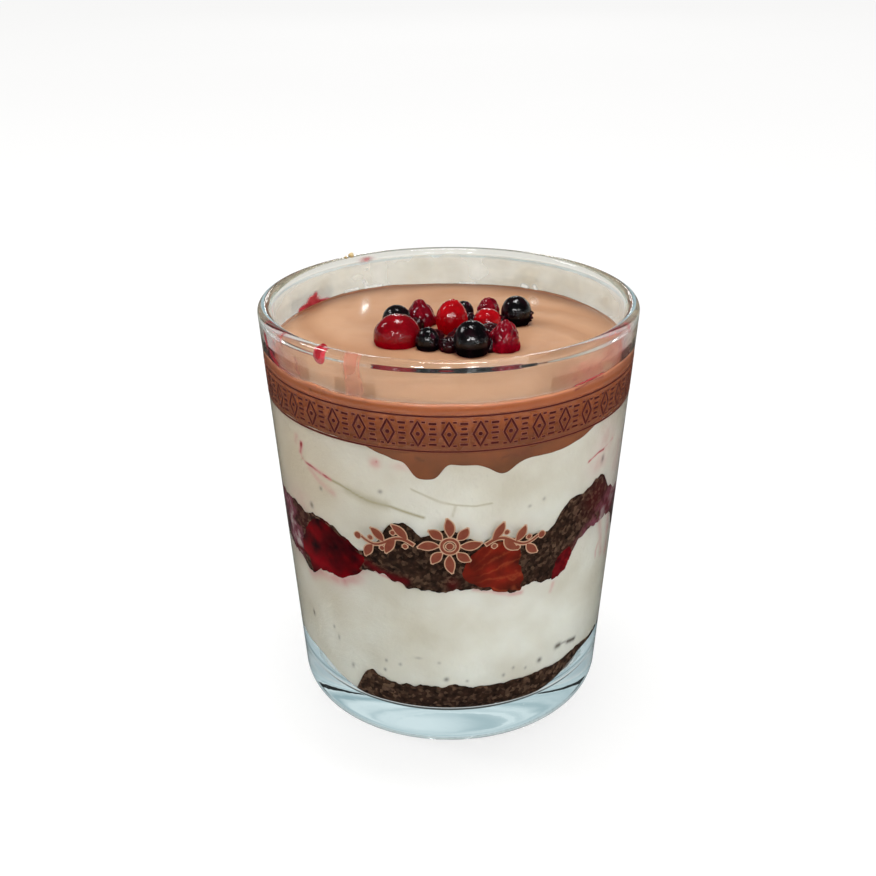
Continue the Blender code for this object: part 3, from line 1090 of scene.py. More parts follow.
@dataclass(frozen=True)
class Tumbler:
    """The glass: its sizes, its radii by height and its skin."""

    height: float = 97.0
    rim_radius: float = 42.5
    foot_radius: float = 36.2
    foot_rounding: float = 5.2
    rim_wall: float = 2.3
    foot_wall: float = 2.8
    rim_rounding: float = 1.4
    bead: float = 0.6
    bead_shoulder: Place = (1.2, 2.8)
    floor: float = 8.6
    floor_rounding: float = 5.0
    punt_radius: float = 29.5
    punt_depth: float = 1.4
    segments: int = 360
    inside_middle: float = 37.5

    @property
    def degree(self) -> float:
        """The length of one degree round the inside, in millimetres."""
        return math.radians(1.0) * self.inside_middle

    def outer(self, height: np.ndarray) -> np.ndarray:
        """The outside: a straight taper from the foot radius to the rim radius."""
        return self.foot_radius + (self.rim_radius - self.foot_radius) * height / self.height

    def wall(self, height: np.ndarray) -> np.ndarray:
        """The wall: a straight taper, with a bead at the rim that ends in a short shoulder."""
        plain = self.foot_wall + (self.rim_wall - self.foot_wall) * height / self.height
        return plain + self.bead * (1.0 - smoothstep(*self.bead_shoulder, self.height - height))

    def inner(self, height: np.ndarray) -> np.ndarray:
        """The inside: the straight taper, and a quarter circle down to the floor.

        Args:
            height: the heights.

        Returns:
            The radius at each height.
        """
        height = np.asarray(height, dtype=float)
        corner = self.floor + self.floor_rounding
        below = np.clip(corner - height, 0.0, self.floor_rounding)
        at_corner = self.outer(corner) - self.wall(corner)
        rounded = at_corner - self.floor_rounding + np.sqrt(self.floor_rounding**2 - below**2)
        return np.where(height >= corner, self.outer(height) - self.wall(height), rounded)

    def profile(self) -> np.ndarray:
        """(radius, height) from under the foot, up the outside, over the rim, to the floor.

        Returns:
            The points, without the two poles.
        """
        under = np.linspace(1.5, self.punt_radius, 20)
        hollow = self.punt_depth * (0.5 + 0.5 * np.cos(np.pi * under / self.punt_radius))
        turn = np.radians(np.linspace(-90.0, 0.0, 14))
        foot_x = self.outer(self.foot_rounding) - self.foot_rounding
        foot_rise = self.foot_rounding * (1 + np.sin(turn))
        foot = np.stack([foot_x + self.foot_rounding * np.cos(turn), foot_rise], -1)
        shoulder = self.height - self.rim_rounding
        up = np.linspace(self.foot_rounding + 1.0, shoulder - 0.3, 46)
        half = self.wall(np.array(shoulder)) / 2.0
        middle = self.outer(np.array(shoulder)) - half
        arc = np.radians(np.linspace(0.0, 180.0, 25))
        rim = np.stack([middle + half * np.cos(arc), shoulder + self.rim_rounding * np.sin(arc)], -1)
        bead = np.linspace(shoulder - 0.1, shoulder - 1.7, 16)
        down = np.linspace(shoulder - 2.2, self.floor + self.floor_rounding + 0.5, 44)
        turn = np.radians(np.linspace(0.0, 90.0, 16))
        corner = self.floor + self.floor_rounding
        corner_x = self.inner(np.array(corner)) - self.floor_rounding
        low_rise = corner - self.floor_rounding * np.sin(turn)
        low = np.stack([corner_x + self.floor_rounding * np.cos(turn), low_rise], -1)
        flat = np.linspace(corner_x - 1.5, 1.5, 16)
        return np.concatenate(
            [
                np.stack([under, hollow], -1),
                foot,
                np.stack([self.outer(up), up], -1),
                rim,
                np.stack([self.inner(bead), bead], -1),
                np.stack([self.inner(down), down], -1),
                low,
                np.stack([flat, np.full_like(flat, self.floor)], -1),
            ]
        )

    def build(self, bench: Bench) -> None:
        """Carry the profile round the axis and dress it as clear glass.

        Args:
            bench: where pieces are made and dressed.
        """
        profile = self.profile()
        azimuth = np.arange(self.segments) * 360.0 / self.segments
        rings = from_cylinder(azimuth[None], profile[:, :1], profile[:, 1:])
        low = np.array([0.0, 0.0, self.punt_depth])
        high = np.array([0.0, 0.0, self.floor])
        shell = Shell.round(rings, low, high)
        bench.place("tumbler_glass", shell, ClearGlass("polished_glass"), "clear_glass", ("glass_tumbler",))


TUMBLER = Tumbler()


# Layers.


@dataclass(frozen=True)
class Edge:
    """The line where one layer ends and the next begins, and its surface inwards."""

    level: float
    lumps: tuple[Lump, ...] = ()
    ripple: float = 0.0
    ripple_scale: float = 3.0
    seed: int = 1

    def at_glass(self, azimuth: np.ndarray) -> np.ndarray:
        """The level, every lump's bell, and noise read round a circle at the glass.

        Args:
            azimuth: the azimuths.

        Returns:
            The edge's height at each azimuth.
        """
        height = np.full(np.shape(azimuth), self.level)
        for middle, half_width, rise, sharpness in self.lumps:
            height = height + rise * bell(turn_between(azimuth, middle), half_width, sharpness)
        if self.ripple:
            circle = from_cylinder(azimuth, TUMBLER.inside_middle, self.level)
            height = height + self.ripple * Grain(self.seed).layered(circle, self.ripple_scale)
        return height

    def surface(self, azimuth: np.ndarray, share: np.ndarray) -> np.ndarray:
        """The height at a share of the way out: lumps fade inwards with the share cubed."""
        return self.level + (self.at_glass(azimuth) - self.level) * share**3


CRUMB_TOP = Edge(
    16.9,
    (
        (-29.0, 3.0, 1.7, 2),
        (1.0, 3.0, 0.9, 2),
        (56.0, 9.0, 1.0, 2),
        (-67.0, 30.5, -8.0, 12),
        (124.0, 12.0, 1.4, 2),
        (165.0, 14.0, -1.3, 2),
        (205.0, 10.0, 1.6, 2),
    ),
    0.42,
    1.7,
    11,
)
CAKE_UNDERSIDE = Edge(
    43.5,
    (
        (-26.0, 7.0, 3.0, 2),
        (-56.0, 3.5, -2.6, 2),
        (-64.0, 11.0, -2.2, 2),
        (21.0, 4.5, -1.8, 2),
        (35.0, 4.0, -1.6, 2),
        (59.0, 14.5, 7.0, 6),
        (108.0, 14.0, 3.0, 2),
        (152.0, 18.0, -2.4, 2),
        (204.0, 16.0, 2.6, 2),
        (250.0, 14.0, -1.2, 2),
    ),
    0.6,
    1.5,
    12,
)
CAKE_TOP = Edge(
    55.2,
    (
        (-31.0, 6.0, -4.6, 2),
        (-16.0, 5.5, 4.4, 4),
        (-1.0, 5.0, 3.8, 2),
        (49.0, 11.5, 6.2, 6),
        (62.0, 6.0, 3.2, 2),
        (104.0, 16.0, 2.6, 2),
        (146.0, 12.0, -2.2, 2),
        (186.0, 16.0, 3.4, 4),
        (228.0, 12.0, -1.8, 2),
        (262.0, 12.0, 1.6, 2),
    ),
    0.65,
    1.6,
    13,
)
CHOCOLATE_UNDERSIDE = Edge(
    77.5,
    (
        (12.0, 34.0, -3.3, 8),
        (-7.0, 4.6, -3.4, 4),
        (16.0, 4.0, -2.8, 2),
        (110.0, 9.0, -2.4, 2),
        (152.0, 13.0, -3.6, 4),
        (205.0, 6.0, -4.6, 2),
        (250.0, 18.0, -2.0, 2),
    ),
    0.3,
    5.0,
    14,
)
CHOCOLATE_TOP = Edge(
    87.8,
    (
        (-43.0, 3.5, 0.5, 2),
        (-68.0, 12.0, 0.5, 2),
        (62.0, 14.0, 0.9, 2),
        (140.0, 16.0, 0.4, 2),
        (215.0, 18.0, 0.6, 2),
    ),
    0.12,
    7.0,
    15,
)


StandOff = Callable[[np.ndarray, np.ndarray], np.ndarray]


@dataclass(frozen=True)
class Layer:
    """A layer between two edges, pressed a hair into the glass so that no air shows."""

    low: Edge
    high: Edge
    rows: int
    columns: int = 720
    press: float = 0.12
    tuck: float = 0.4

    @property
    def azimuth(self) -> np.ndarray:
        """The azimuths of the columns."""
        return np.arange(self.columns) * 360.0 / self.columns

    def side(self, stand_off: StandOff | None = None) -> np.ndarray:
        """Rings up the glass: heights shared out between the edges, on the inside's radius.

        Args:
            stand_off: how far the layer stays off the glass, by azimuth and height.

        Returns:
            Points by ring and column.
        """
        share = np.linspace(0.0, 1.0, self.rows)[:, None]
        azimuth = self.azimuth[None]
        height = self.low.at_glass(azimuth) * (1 - share) + self.high.at_glass(azimuth) * share
        radius = TUMBLER.inner(height) + self.press
        if stand_off is not None:
            radius = radius - stand_off(azimuth, height)
        return from_cylinder(azimuth, radius, height)

    def tucked(self, edge: Edge, shares: Sequence[float], drop: float, inset: float) -> np.ndarray:
        """Rings on an edge's surface inside the part, moved down by drop and in by inset.

        Args:
            edge: the surface.
            shares: the rings' shares of the way out.
            drop: how far they lie below the surface.
            inset: how far inside the glass the outermost ring ends.

        Returns:
            Points by ring and column.
        """
        share = np.array(shares)[:, None]
        azimuth = self.azimuth[None]
        height = edge.surface(azimuth, share) - drop
        radius = (TUMBLER.inner(edge.at_glass(azimuth) - drop) - inset) * share
        return from_cylinder(azimuth, radius, height)

    def shell(self, top: np.ndarray | None = None, stand_off: StandOff | None = None) -> Shell:
        """Under, side and top rings closed by poles.

        Args:
            top: rings of a shown top, from the glass inwards; a tucked one if left out.
            stand_off: what side() takes.

        Returns:
            The closed shell.
        """
        under = self.tucked(self.low, (0.15, 0.42, 0.76, 1.0), self.tuck, 0.7)
        side = self.side(stand_off)
        if top is None:
            top = self.tucked(self.high, (1.0, 0.76, 0.42, 0.15), 0.05, 0.9)
        low = np.array([0.0, 0.0, self.low.level - self.tuck])
        high = np.array([0.0, 0.0, float(top[-1, :, 2].mean())])
        return Shell.round(np.concatenate([under, side, top]), low, high)


def on_side(points: np.ndarray) -> tuple[np.ndarray, np.ndarray, np.ndarray]:
    """(azimuth, height, share) of each point, with share 1 where it meets the glass.

    Args:
        points: the points, in millimetres.

    Returns:
        The azimuths, the heights and the shares.
    """
    azimuth, radius, height = to_cylinder(points)
    inside = TUMBLER.inner(np.clip(height, TUMBLER.floor, TUMBLER.height))
    return azimuth, height, smoothstep(-1.0, -0.3, radius - inside)


@dataclass(frozen=True)
class Patch:
    """A fruit piece's outline on the glass: a middle, and corners joined round it."""

    middle: Place
    corners: tuple[Place, ...]
    thickness: float = 5.0
    press: float = 0.55
    rounding: float = 0.35
    wobble: float = 0.3
    seed: int = 3

    def reach(self, turn: np.ndarray) -> np.ndarray:
        """How far the outline reaches that way, in millimetres, read between its corners.

        Args:
            turn: the ways out from the middle, in radians.

        Returns:
            The reach each way.
        """
        scale = TUMBLER.degree
        offsets = np.array(self.corners) - np.array(self.middle)
        offsets = offsets * np.array([scale, 1.0])
        turns = np.arctan2(offsets[:, 1], offsets[:, 0])
        order = np.argsort(turns)
        reaches = np.hypot(offsets[:, 0], offsets[:, 1])
        return np.interp(turn, turns[order], reaches[order], period=2 * np.pi)

    def inside(self, azimuth: np.ndarray, height: np.ndarray) -> np.ndarray:
        """1 well within the outline and 0 outside it, with a soft step between.

        Args:
            azimuth, height: the places.

        Returns:
            The share at each place.
        """
        scale = TUMBLER.degree
        x = turn_between(azimuth, self.middle[0]) * scale
        y = height - self.middle[1]
        share = np.hypot(x, y) / self.reach(np.arctan2(y, x))
        return 1.0 - smoothstep(0.72, 0.9, share)

    def shell(self, rows: int = 60, columns: int = 160) -> Shell:
        """A pebble pressed flat on the glass.

        The share of the reach is the sine of the row's angle. In front the depth is the
        rounding times that sine to the 24th, and behind it grows with the cosine.

        Args:
            rows, columns: the grid's size.

        Returns:
            The closed shell.
        """
        scale = TUMBLER.degree
        angle = np.linspace(0.0, np.pi, rows + 2)[1:-1][:, None]
        turn = np.linspace(0.0, 2 * np.pi, columns, endpoint=False)[None]
        ring = np.stack([np.cos(turn), np.sin(turn), 0 * turn], -1) * 9.0
        reach = self.reach(turn) + self.wobble * Grain(self.seed).layered(ring, 2.0)
        share = np.sin(angle)
        azimuth = self.middle[0] + reach * share * np.cos(turn) / scale
        height = self.middle[1] + reach * share * np.sin(turn)
        front = self.rounding * share**24 + 0 * turn
        back = self.rounding + (self.thickness - self.rounding) * -np.cos(angle) + 0 * turn
        depth = np.where(angle < np.pi / 2, front, back)
        rings = from_cylinder(azimuth, TUMBLER.inner(height) + self.press - depth, height)
        radius = TUMBLER.inner(np.array(self.middle[1])) + self.press
        near = from_cylinder(self.middle[0], radius, self.middle[1])
        far = from_cylinder(self.middle[0], radius - self.thickness, self.middle[1])
        return Shell.round(rings, near, far)


COMPOTE = Patch(
    (-44.0, 48.0),
    (
        (-49.1, 55.4),
        (-41.3, 54.5),
        (-37.1, 53.2),
        (-33.1, 51.6),
        (-29.4, 50.0),
        (-27.2, 48.5),
        (-30.1, 45.8),
        (-34.0, 43.6),
        (-38.0, 42.2),
        (-43.5, 41.8),
        (-49.5, 41.6),
        (-54.9, 38.6),
        (-56.5, 42.4),
        (-61.0, 43.0),
        (-57.6, 48.9),
        (-53.7, 53.0),
    ),
)
STRAWBERRY = Patch(
    (14.5, 48.0),
    (
        (22.6, 54.5),
        (23.0, 48.5),
        (24.0, 41.4),
        (20.2, 41.8),
        (13.1, 43.5),
        (7.0, 44.8),
        (3.6, 46.2),
        (4.2, 50.6),
        (8.0, 53.8),
        (15.0, 55.6),
    ),
    seed=5,
)
CHERRY = Patch(
    (40.2, 45.2),
    (
        (36.9, 41.6),
        (40.3, 42.6),
        (43.1, 45.0),
        (44.6, 47.0),
        (43.8, 48.6),
        (41.0, 48.8),
        (38.9, 48.0),
        (37.0, 45.2),
        (35.8, 42.2),
    ),
    thickness=4.0,
    seed=7,
)


GAP_DEPTH = 1.4
GAP_TOP = 11.5
GAP_SIDE_RISE = 5.5
GAP_FADE = 4.5


def corner_gap(azimuth: np.ndarray, height: np.ndarray) -> np.ndarray:
    """The air under the lower cream's shoulder: more at the sides, and none higher up."""
    top = GAP_TOP + GAP_SIDE_RISE * smoothstep(32.0, 60.0, np.abs(turn_between(azimuth, 0.0)))
    return GAP_DEPTH * (1.0 - smoothstep(top - GAP_FADE, top, height))


@dataclass
class Creams:
    """The two creams and what shows in them through the glass."""

    # Painted shade along the folds between cream masses.
    crease_shade: tuple[Streak, ...] = (
        Streak(
            ((-40.3, 66.6), (-35.8, 66.1), (-29.2, 64.6), (-25.1, 63.8), (-18.4, 63.5), (-8.0, 61.6)),
            0.55,
            0.75,
        ),
        Streak(((-33.0, 65.3), (-27.0, 64.2), (-20.0, 63.6)), 1.9, 0.42),
        Streak(((-11.5, 68.2), (-8.8, 67.4), (-6.3, 66.6), (-2.7, 65.5), (1.8, 64.8)), 0.35, 0.5),
        Streak(((1.8, 64.8), (7.9, 64.3), (12.9, 64.7)), 0.3, 0.55),
        Streak(((1.8, 64.5), (0.9, 62.1)), 0.45, 0.35),
        Streak(((-52.0, 69.0), (-53.5, 68.0)), 0.4, 0.3),
        Streak(((120.0, 66.0), (134.0, 68.0), (150.0, 67.0)), 0.5, 0.6),
        Streak(((196.0, 62.0), (210.0, 64.5), (222.0, 64.0)), 0.5, 0.5),
    )
    upper_juice: tuple[Mark, ...] = (
        Streak(((-52.2, 72.4), (-52.7, 71.0), (-53.2, 70.0)), 0.9, 0.95),
        Streak(((-53.2, 70.2), (-53.0, 68.9), (-50.9, 68.0)), 0.35, 0.6),
        Streak(((-51.0, 68.1), (-46.4, 67.6), (-43.2, 67.1), (-39.6, 66.5)), 0.55, 1.0),
        Streak(((-46.4, 67.5), (-43.2, 67.0)), 0.8, 0.9),
        Streak(((-49.0, 67.0), (-44.7, 64.9), (-39.1, 63.4)), 1.3, 0.3),
        Streak(((-54.5, 73.6), (-55.5, 72.0)), 1.2, 0.25),
        Spot(-22.3, 73.4, 1.4, 0.9, 0.5),
        Spot(-21.9, 73.7, 0.5, 0.4, 0.8),
        Spot(-14.2, 73.2, 2.6, 0.8, 0.22),
        Streak(((48.7, 68.4), (53.8, 69.4), (57.0, 69.3)), 0.5, 0.9),
        Streak(((53.8, 69.4), (58.9, 69.8), (63.1, 70.4)), 0.35, 0.5),
        Spot(58.0, 71.5, 6.0, 4.0, 0.2),
        Spot(55.0, 66.5, 5.0, 2.2, 0.22),
        Spot(-58.0, 57.0, 6.0, 2.5, 0.18),
        Spot(70.0, 64.0, 5.0, 6.0, 0.2),
        Spot(118.0, 61.0, 5.0, 1.8, 0.4),
        Spot(170.0, 60.5, 4.0, 1.2, 0.35),
    )
    lower_juice: tuple[Mark, ...] = (
        Streak(((-60.0, 43.2), (-66.0, 42.6)), 1.8, 0.8),
        Streak(((-61.5, 44.8), (-64.0, 50.5), (-68.0, 53.0)), 3.4, 0.55),
        Spot(-68.0, 47.5, 5.0, 6.0, 0.42),
        Streak(((-56.0, 38.2), (-49.5, 40.4), (-43.5, 40.6), (-38.0, 41.2), (-32.0, 43.6)), 2.4, 0.4),
        Spot(-30.0, 45.4, 2.0, 1.0, 0.4),
        Streak(((-26.1, 47.0), (-23.5, 45.9), (-18.9, 45.2), (-14.5, 44.6)), 0.5, 0.55),
        Streak(((8.0, 43.6), (14.0, 42.4), (20.0, 41.0), (24.4, 40.8)), 0.9, 0.4),
        Streak(((37.0, 40.6), (36.4, 38.6)), 0.9, 0.3),
        Streak(((60.0, 51.0), (63.0, 46.0), (66.0, 40.0)), 1.6, 0.3),
        Streak(((68.0, 52.0), (71.0, 45.0), (72.0, 39.0)), 2.4, 0.38),
        Streak(((62.0, 44.0), (60.5, 42.0), (61.0, 40.5)), 0.6, 0.35),
        Spot(122.0, 43.0, 7.0, 2.2, 0.4),
        Spot(228.0, 41.5, 6.0, 1.6, 0.4),
    )
    specks: tuple[Mark, ...] = (
        Spot(-58.7, 26.4, 0.55, 0.7, 0.7),
        Spot(-46.0, 26.6, 0.45, 0.4, 0.5),
        Spot(-43.9, 24.2, 0.4, 0.6, 0.45),
        Spot(-23.3, 22.6, 0.4, 0.35, 0.6),
        Spot(-18.0, 22.3, 0.5, 0.35, 0.5),
        Spot(-11.3, 24.8, 1.1, 0.25, 0.35),
        Spot(-24.0, 19.9, 0.4, 0.35, 0.7),
        Spot(-3.9, 23.8, 0.5, 0.3, 0.35),
        Spot(-1.4, 19.2, 0.7, 0.45, 0.8),
        Spot(23.1, 20.4, 0.4, 0.35, 0.5),
        Spot(34.0, 20.2, 0.8, 0.55, 0.85),
        Spot(28.1, 19.4, 0.4, 0.35, 0.5),
        Spot(19.4, 18.9, 0.45, 0.4, 0.55),
        Spot(6.0, 18.6, 0.45, 0.3, 0.45),
        Spot(-38.0, 18.0, 0.6, 0.5, 0.6),
        Streak(((42.0, 21.9), (43.2, 21.9)), 1.2, 0.9),
        Streak(((43.0, 21.9), (45.9, 21.9), (48.0, 21.4)), 0.4, 0.7),
        Streak(((48.0, 21.4), (50.1, 21.1), (52.0, 20.9)), 0.95, 0.95),
        Spot(30.5, 63.4, 0.45, 0.35, 0.45),
        Spot(25.5, 62.5, 0.5, 0.3, 0.45),
        Spot(-21.4, 66.7, 0.6, 0.35, 0.6),
        Spot(-44.5, 63.2, 0.5, 0.4, 0.6),
        Spot(-50.5, 57.6, 0.7, 0.6, 0.7),
        Spot(57.0, 67.0, 0.7, 0.8, 0.6),
        Spot(101.0, 23.0, 0.5, 0.5, 0.6),
        Spot(140.0, 21.0, 0.6, 0.5, 0.7),
        Spot(190.0, 25.0, 0.5, 0.4, 0.6),
        Spot(232.0, 20.0, 0.8, 0.5, 0.7),
    )

    @staticmethod
    def warmth(azimuth: np.ndarray, height: np.ndarray) -> np.ndarray:
        """How much warmer the cream is: up to a half on the left, and more higher up.

        Args:
            azimuth, height: the places.

        Returns:
            The mark's values.
        """
        left = -turn_between(azimuth, 0.0)
        round_it = smoothstep(6.0, 58.0, left) * (1.0 - smoothstep(100.0, 150.0, left))
        return 0.5 * round_it * (0.45 + 0.55 * smoothstep(35.0, 62.0, height))

    def build(self, bench: Bench) -> None:
        """Build both creams, with their marks where they meet the glass.

        Args:
            bench: where pieces are made and dressed.
        """
        finish = SoftCream("soft_cream")
        grain = Grain(21)
        lower = Layer(CRUMB_TOP, CAKE_UNDERSIDE, 92)
        upper = Layer(CAKE_TOP, CHOCOLATE_UNDERSIDE, 74)
        jobs = (
            ("cream_lower", lower, "lower_cream", self.lower_juice, corner_gap),
            ("cream_upper", upper, "upper_cream", self.upper_juice, None),
        )
        for name, layer, node, juice, stand_off in jobs:
            shell = layer.shell(stand_off=stand_off)
            azimuth, height, share = on_side(shell.points)
            feather = 0.75 + 0.35 * grain.layered(shell.points, 1.6)
            marks = {
                "juice": share * np.clip(strongest(juice, azimuth, height) * feather, 0.0, 1.0),
                "crease_shade": share * strongest(self.crease_shade, azimuth, height),
                "speck": share * strongest(self.specks, azimuth, height),
                "warm": self.warmth(azimuth, height),
            }
            bench.place(name, shell, finish, "cream", (node,), marks)


@dataclass
class Cakes:
    """The crumbs on the floor and the cake in the middle."""

    pit_depth: float = 0.4
    fruit_room: float = 1.4
    press: float = 0.5
    columns: int = 840
    grain: Grain = Grain(31)
    soaked: tuple[Mark, ...] = (
        Spot(57.0, 58.0, 7.0, 4.0, 0.55),
        Spot(66.0, 52.0, 6.0, 5.0, 0.7),
        Spot(46.0, 46.5, 4.0, 1.8, 0.6),
        Spot(-60.0, 52.0, 7.0, 4.0, 0.35),
        Streak(((-28.0, 48.2), (-26.1, 47.7), (-23.5, 46.6), (-18.9, 45.8), (-14.5, 45.2)), 1.6, 0.95),
        Streak(((-56.0, 43.2), (-61.0, 43.0), (-66.5, 42.2)), 1.3, 1.0),
        Spot(1.0, 45.0, 1.6, 1.4, 0.5),
        Spot(118.0, 55.0, 8.0, 5.0, 0.5),
        Spot(226.0, 46.0, 9.0, 4.0, 0.6),
    )
    smeared: tuple[Mark, ...] = (
        Streak(((-70.0, 58.0), (-67.0, 52.0), (-65.0, 47.0), (-64.5, 43.5)), 7.0, 0.95, 2.2),
        Spot(-79.0, 50.0, 8.0, 9.0, 0.55),
        Streak(
            ((48.7, 42.4), (54.7, 48.9), (59.9, 51.5), (66.9, 54.0), (73.0, 56.5), (80.0, 57.0)), 6.5, 0.8
        ),
        Spot(81.0, 53.0, 6.0, 7.0, 0.55),
    )

    def relief(self, points: np.ndarray) -> np.ndarray:
        """How far a crumb stands out: lumps of two sizes with soft noise, from 0 to 1."""
        lumps = 0.5 * self.grain.crumbs(points, 1.5) + 0.5 * self.grain.crumbs(points, 0.75)
        return np.clip(0.45 + lumps + 0.3 * self.grain.smooth(points, 3.5), 0.0, 1.0)

    def _pits(self, azimuth: np.ndarray, height: np.ndarray) -> np.ndarray:
        """The pits' depth, all of it within the wall, and more behind set-in fruit.

        Args:
            azimuth, height: the places on the glass.

        Returns:
            The depth at each place.
        """
        where = from_cylinder(azimuth, TUMBLER.inner(height), height)
        depth = self.pit_depth * (1.0 - smoothstep(0.15, 0.75, self.relief(where)))
        fruit = np.zeros(depth.shape)
        for patch in (COMPOTE, STRAWBERRY, CHERRY):
            fruit = np.maximum(fruit, patch.inside(azimuth, height))
        return depth + self.fruit_room * fruit

    def _floor_pits(self, azimuth: np.ndarray, height: np.ndarray) -> np.ndarray:
        """The crumbs' pits, with the air that stays in the glass's corner."""
        return self._pits(azimuth, height) + corner_gap(azimuth, height - 1.0)

    def build(self, bench: Bench) -> None:
        """Build the cake and the crumb base with their pits.

        Args:
            bench: where pieces are made and dressed.
        """
        finish = DarkCake("moist_cake")
        floor = Edge(TUMBLER.floor + 0.45)
        cake = Layer(CAKE_UNDERSIDE, CAKE_TOP, 58, self.columns, self.press)
        base = Layer(floor, CRUMB_TOP, 40, self.columns, self.press, tuck=0.05)
        jobs = (
            ("cake_crumb", cake, "cake_middle", self._pits),
            ("floor_crumb", base, "crumb_base", self._floor_pits),
        )
        for name, layer, node, pits in jobs:
            shell = layer.shell(stand_off=pits)
            azimuth, height, share = on_side(shell.points)
            # Painted light: the crumbs are paler away from the front, towards both sides.
            paler = 0.85 + 0.6 * smoothstep(22.0, 46.0, np.abs(turn_between(azimuth, 6.0)))
            raised = np.clip(self.relief(shell.points) * paler, 0.0, 1.0)
            ragged = 0.72 + 0.75 * self.grain.layered(shell.points, 2.2)
            marks = {
                "raised": np.where(share > 0.0, raised, 0.5),
                "juice": strongest(self.soaked, azimuth, height) * np.clip(0.6 + raised, 0.0, 1.0),
                "smear": share * np.clip(strongest(self.smeared, azimuth, height) * ragged, 0.0, 1.0),
            }
            bench.place(name, shell, finish, "dark_cake", (node,), marks)


@dataclass
class SetInFruit:
    """The fruit that lies against the glass in the cake."""

    def build(self, bench: Bench) -> None:
        """Build the compote, the strawberry and the small cherry piece.

        Args:
            bench: where pieces are made and dressed.
        """
        jelly = CutFruit("dark_compote", paint(138, 0, 12), paint(34, 0, 4), paint(170, 6, 24))
        flesh = CutFruit("strawberry_flesh", paint(150, 40, 26), paint(78, 26, 16), paint(196, 92, 56))
        skin = CutFruit("cherry_flesh", paint(140, 14, 24), paint(70, 6, 12), paint(170, 40, 44))
        jobs = (
            ("compote_jelly", COMPOTE, jelly, "compote", "berry_compote"),
            ("strawberry_cut", STRAWBERRY, flesh, "strawberry", "strawberry_piece"),
            ("cherry_cut", CHERRY, skin, "compote", "cherry_piece"),
        )
        for name, patch, finish, slot, node in jobs:
            shell = patch.shell()
            marks = self._marks(name, shell.points)
            bench.place(name, shell, finish, slot, (node,), marks)

    @staticmethod
    def _marks(name: str, points: np.ndarray) -> dict[str, np.ndarray]:
        """Veins and shade for a piece.

        The strawberry's veins fan out from its left end, and its left part is browner. The
        compote darkens towards its middle right.

        Args:
            name: the piece's name.
            points: its points.

        Returns:
            The marks "vein" and "shade".
        """
        azimuth, _, height = to_cylinder(points)
        noise = Grain(41).layered(points, 1.5)
        if name == "strawberry_cut":
            fan = np.degrees(np.arctan2(height - 45.5, azimuth - 2.0))
            vein = np.clip(np.cos(fan * 0.55 + 1.6 * noise), 0.0, 1.0) ** 4 * 0.32
            shade = 0.8 * (1.0 - smoothstep(6.0, 13.0, azimuth)) * np.clip(0.7 + 0.5 * noise, 0.0, 1.0)
            return {"vein": vein * smoothstep(5.0, 14.0, azimuth), "shade": shade}
        if name == "compote_jelly":
            shade = 0.85 * bell(np.hypot(azimuth + 40.0, height - 50.0), 6.5, 2.0) + 0.15 * noise
            vein = 0.6 * bell(height - 43.5, 1.6, 2.0) * (1.0 - smoothstep(-46.0, -38.0, azimuth))
            return {"vein": np.clip(vein, 0.0, 1.0), "shade": np.clip(shade, 0.0, 1.0)}
        return {"vein": np.clip(0.3 * noise, 0.0, 1.0), "shade": np.clip(0.3 - noise, 0.0, 0.6)}


class BerryKind(Enum):
    """What grows on the top."""

    CRANBERRY = "cranberry"
    REDCURRANT = "redcurrant"
    DARK_CURRANT = "dark currant"
    RASPBERRY = "raspberry"


BERRY_SKINS = {
    BerryKind.CRANBERRY: BerrySkin(
        "cranberry_skin", paint(156, 2, 20), paint(104, 0, 12), paint(52, 2, 8), scatter=0.08
    ),
    BerryKind.REDCURRANT: BerrySkin(
        "redcurrant_skin", paint(206, 4, 20), paint(150, 2, 12), paint(80, 2, 8), scatter=0.15
    ),
    BerryKind.DARK_CURRANT: BerrySkin(
        "dark_currant_skin", paint(9, 6, 9), paint(4, 3, 5), paint(64, 8, 30), scatter=0.0, gloss=0.2
    ),
    BerryKind.RASPBERRY: BerrySkin(
        "raspberry_skin", paint(158, 6, 32), paint(96, 2, 18), paint(52, 0, 14), scatter=0.08
    ),
}
BERRY_SLOTS = {
    BerryKind.CRANBERRY: "red_berry",
    BerryKind.REDCURRANT: "red_berry",
    BerryKind.DARK_CURRANT: "dark_berry",
    BerryKind.RASPBERRY: "raspberry",
}


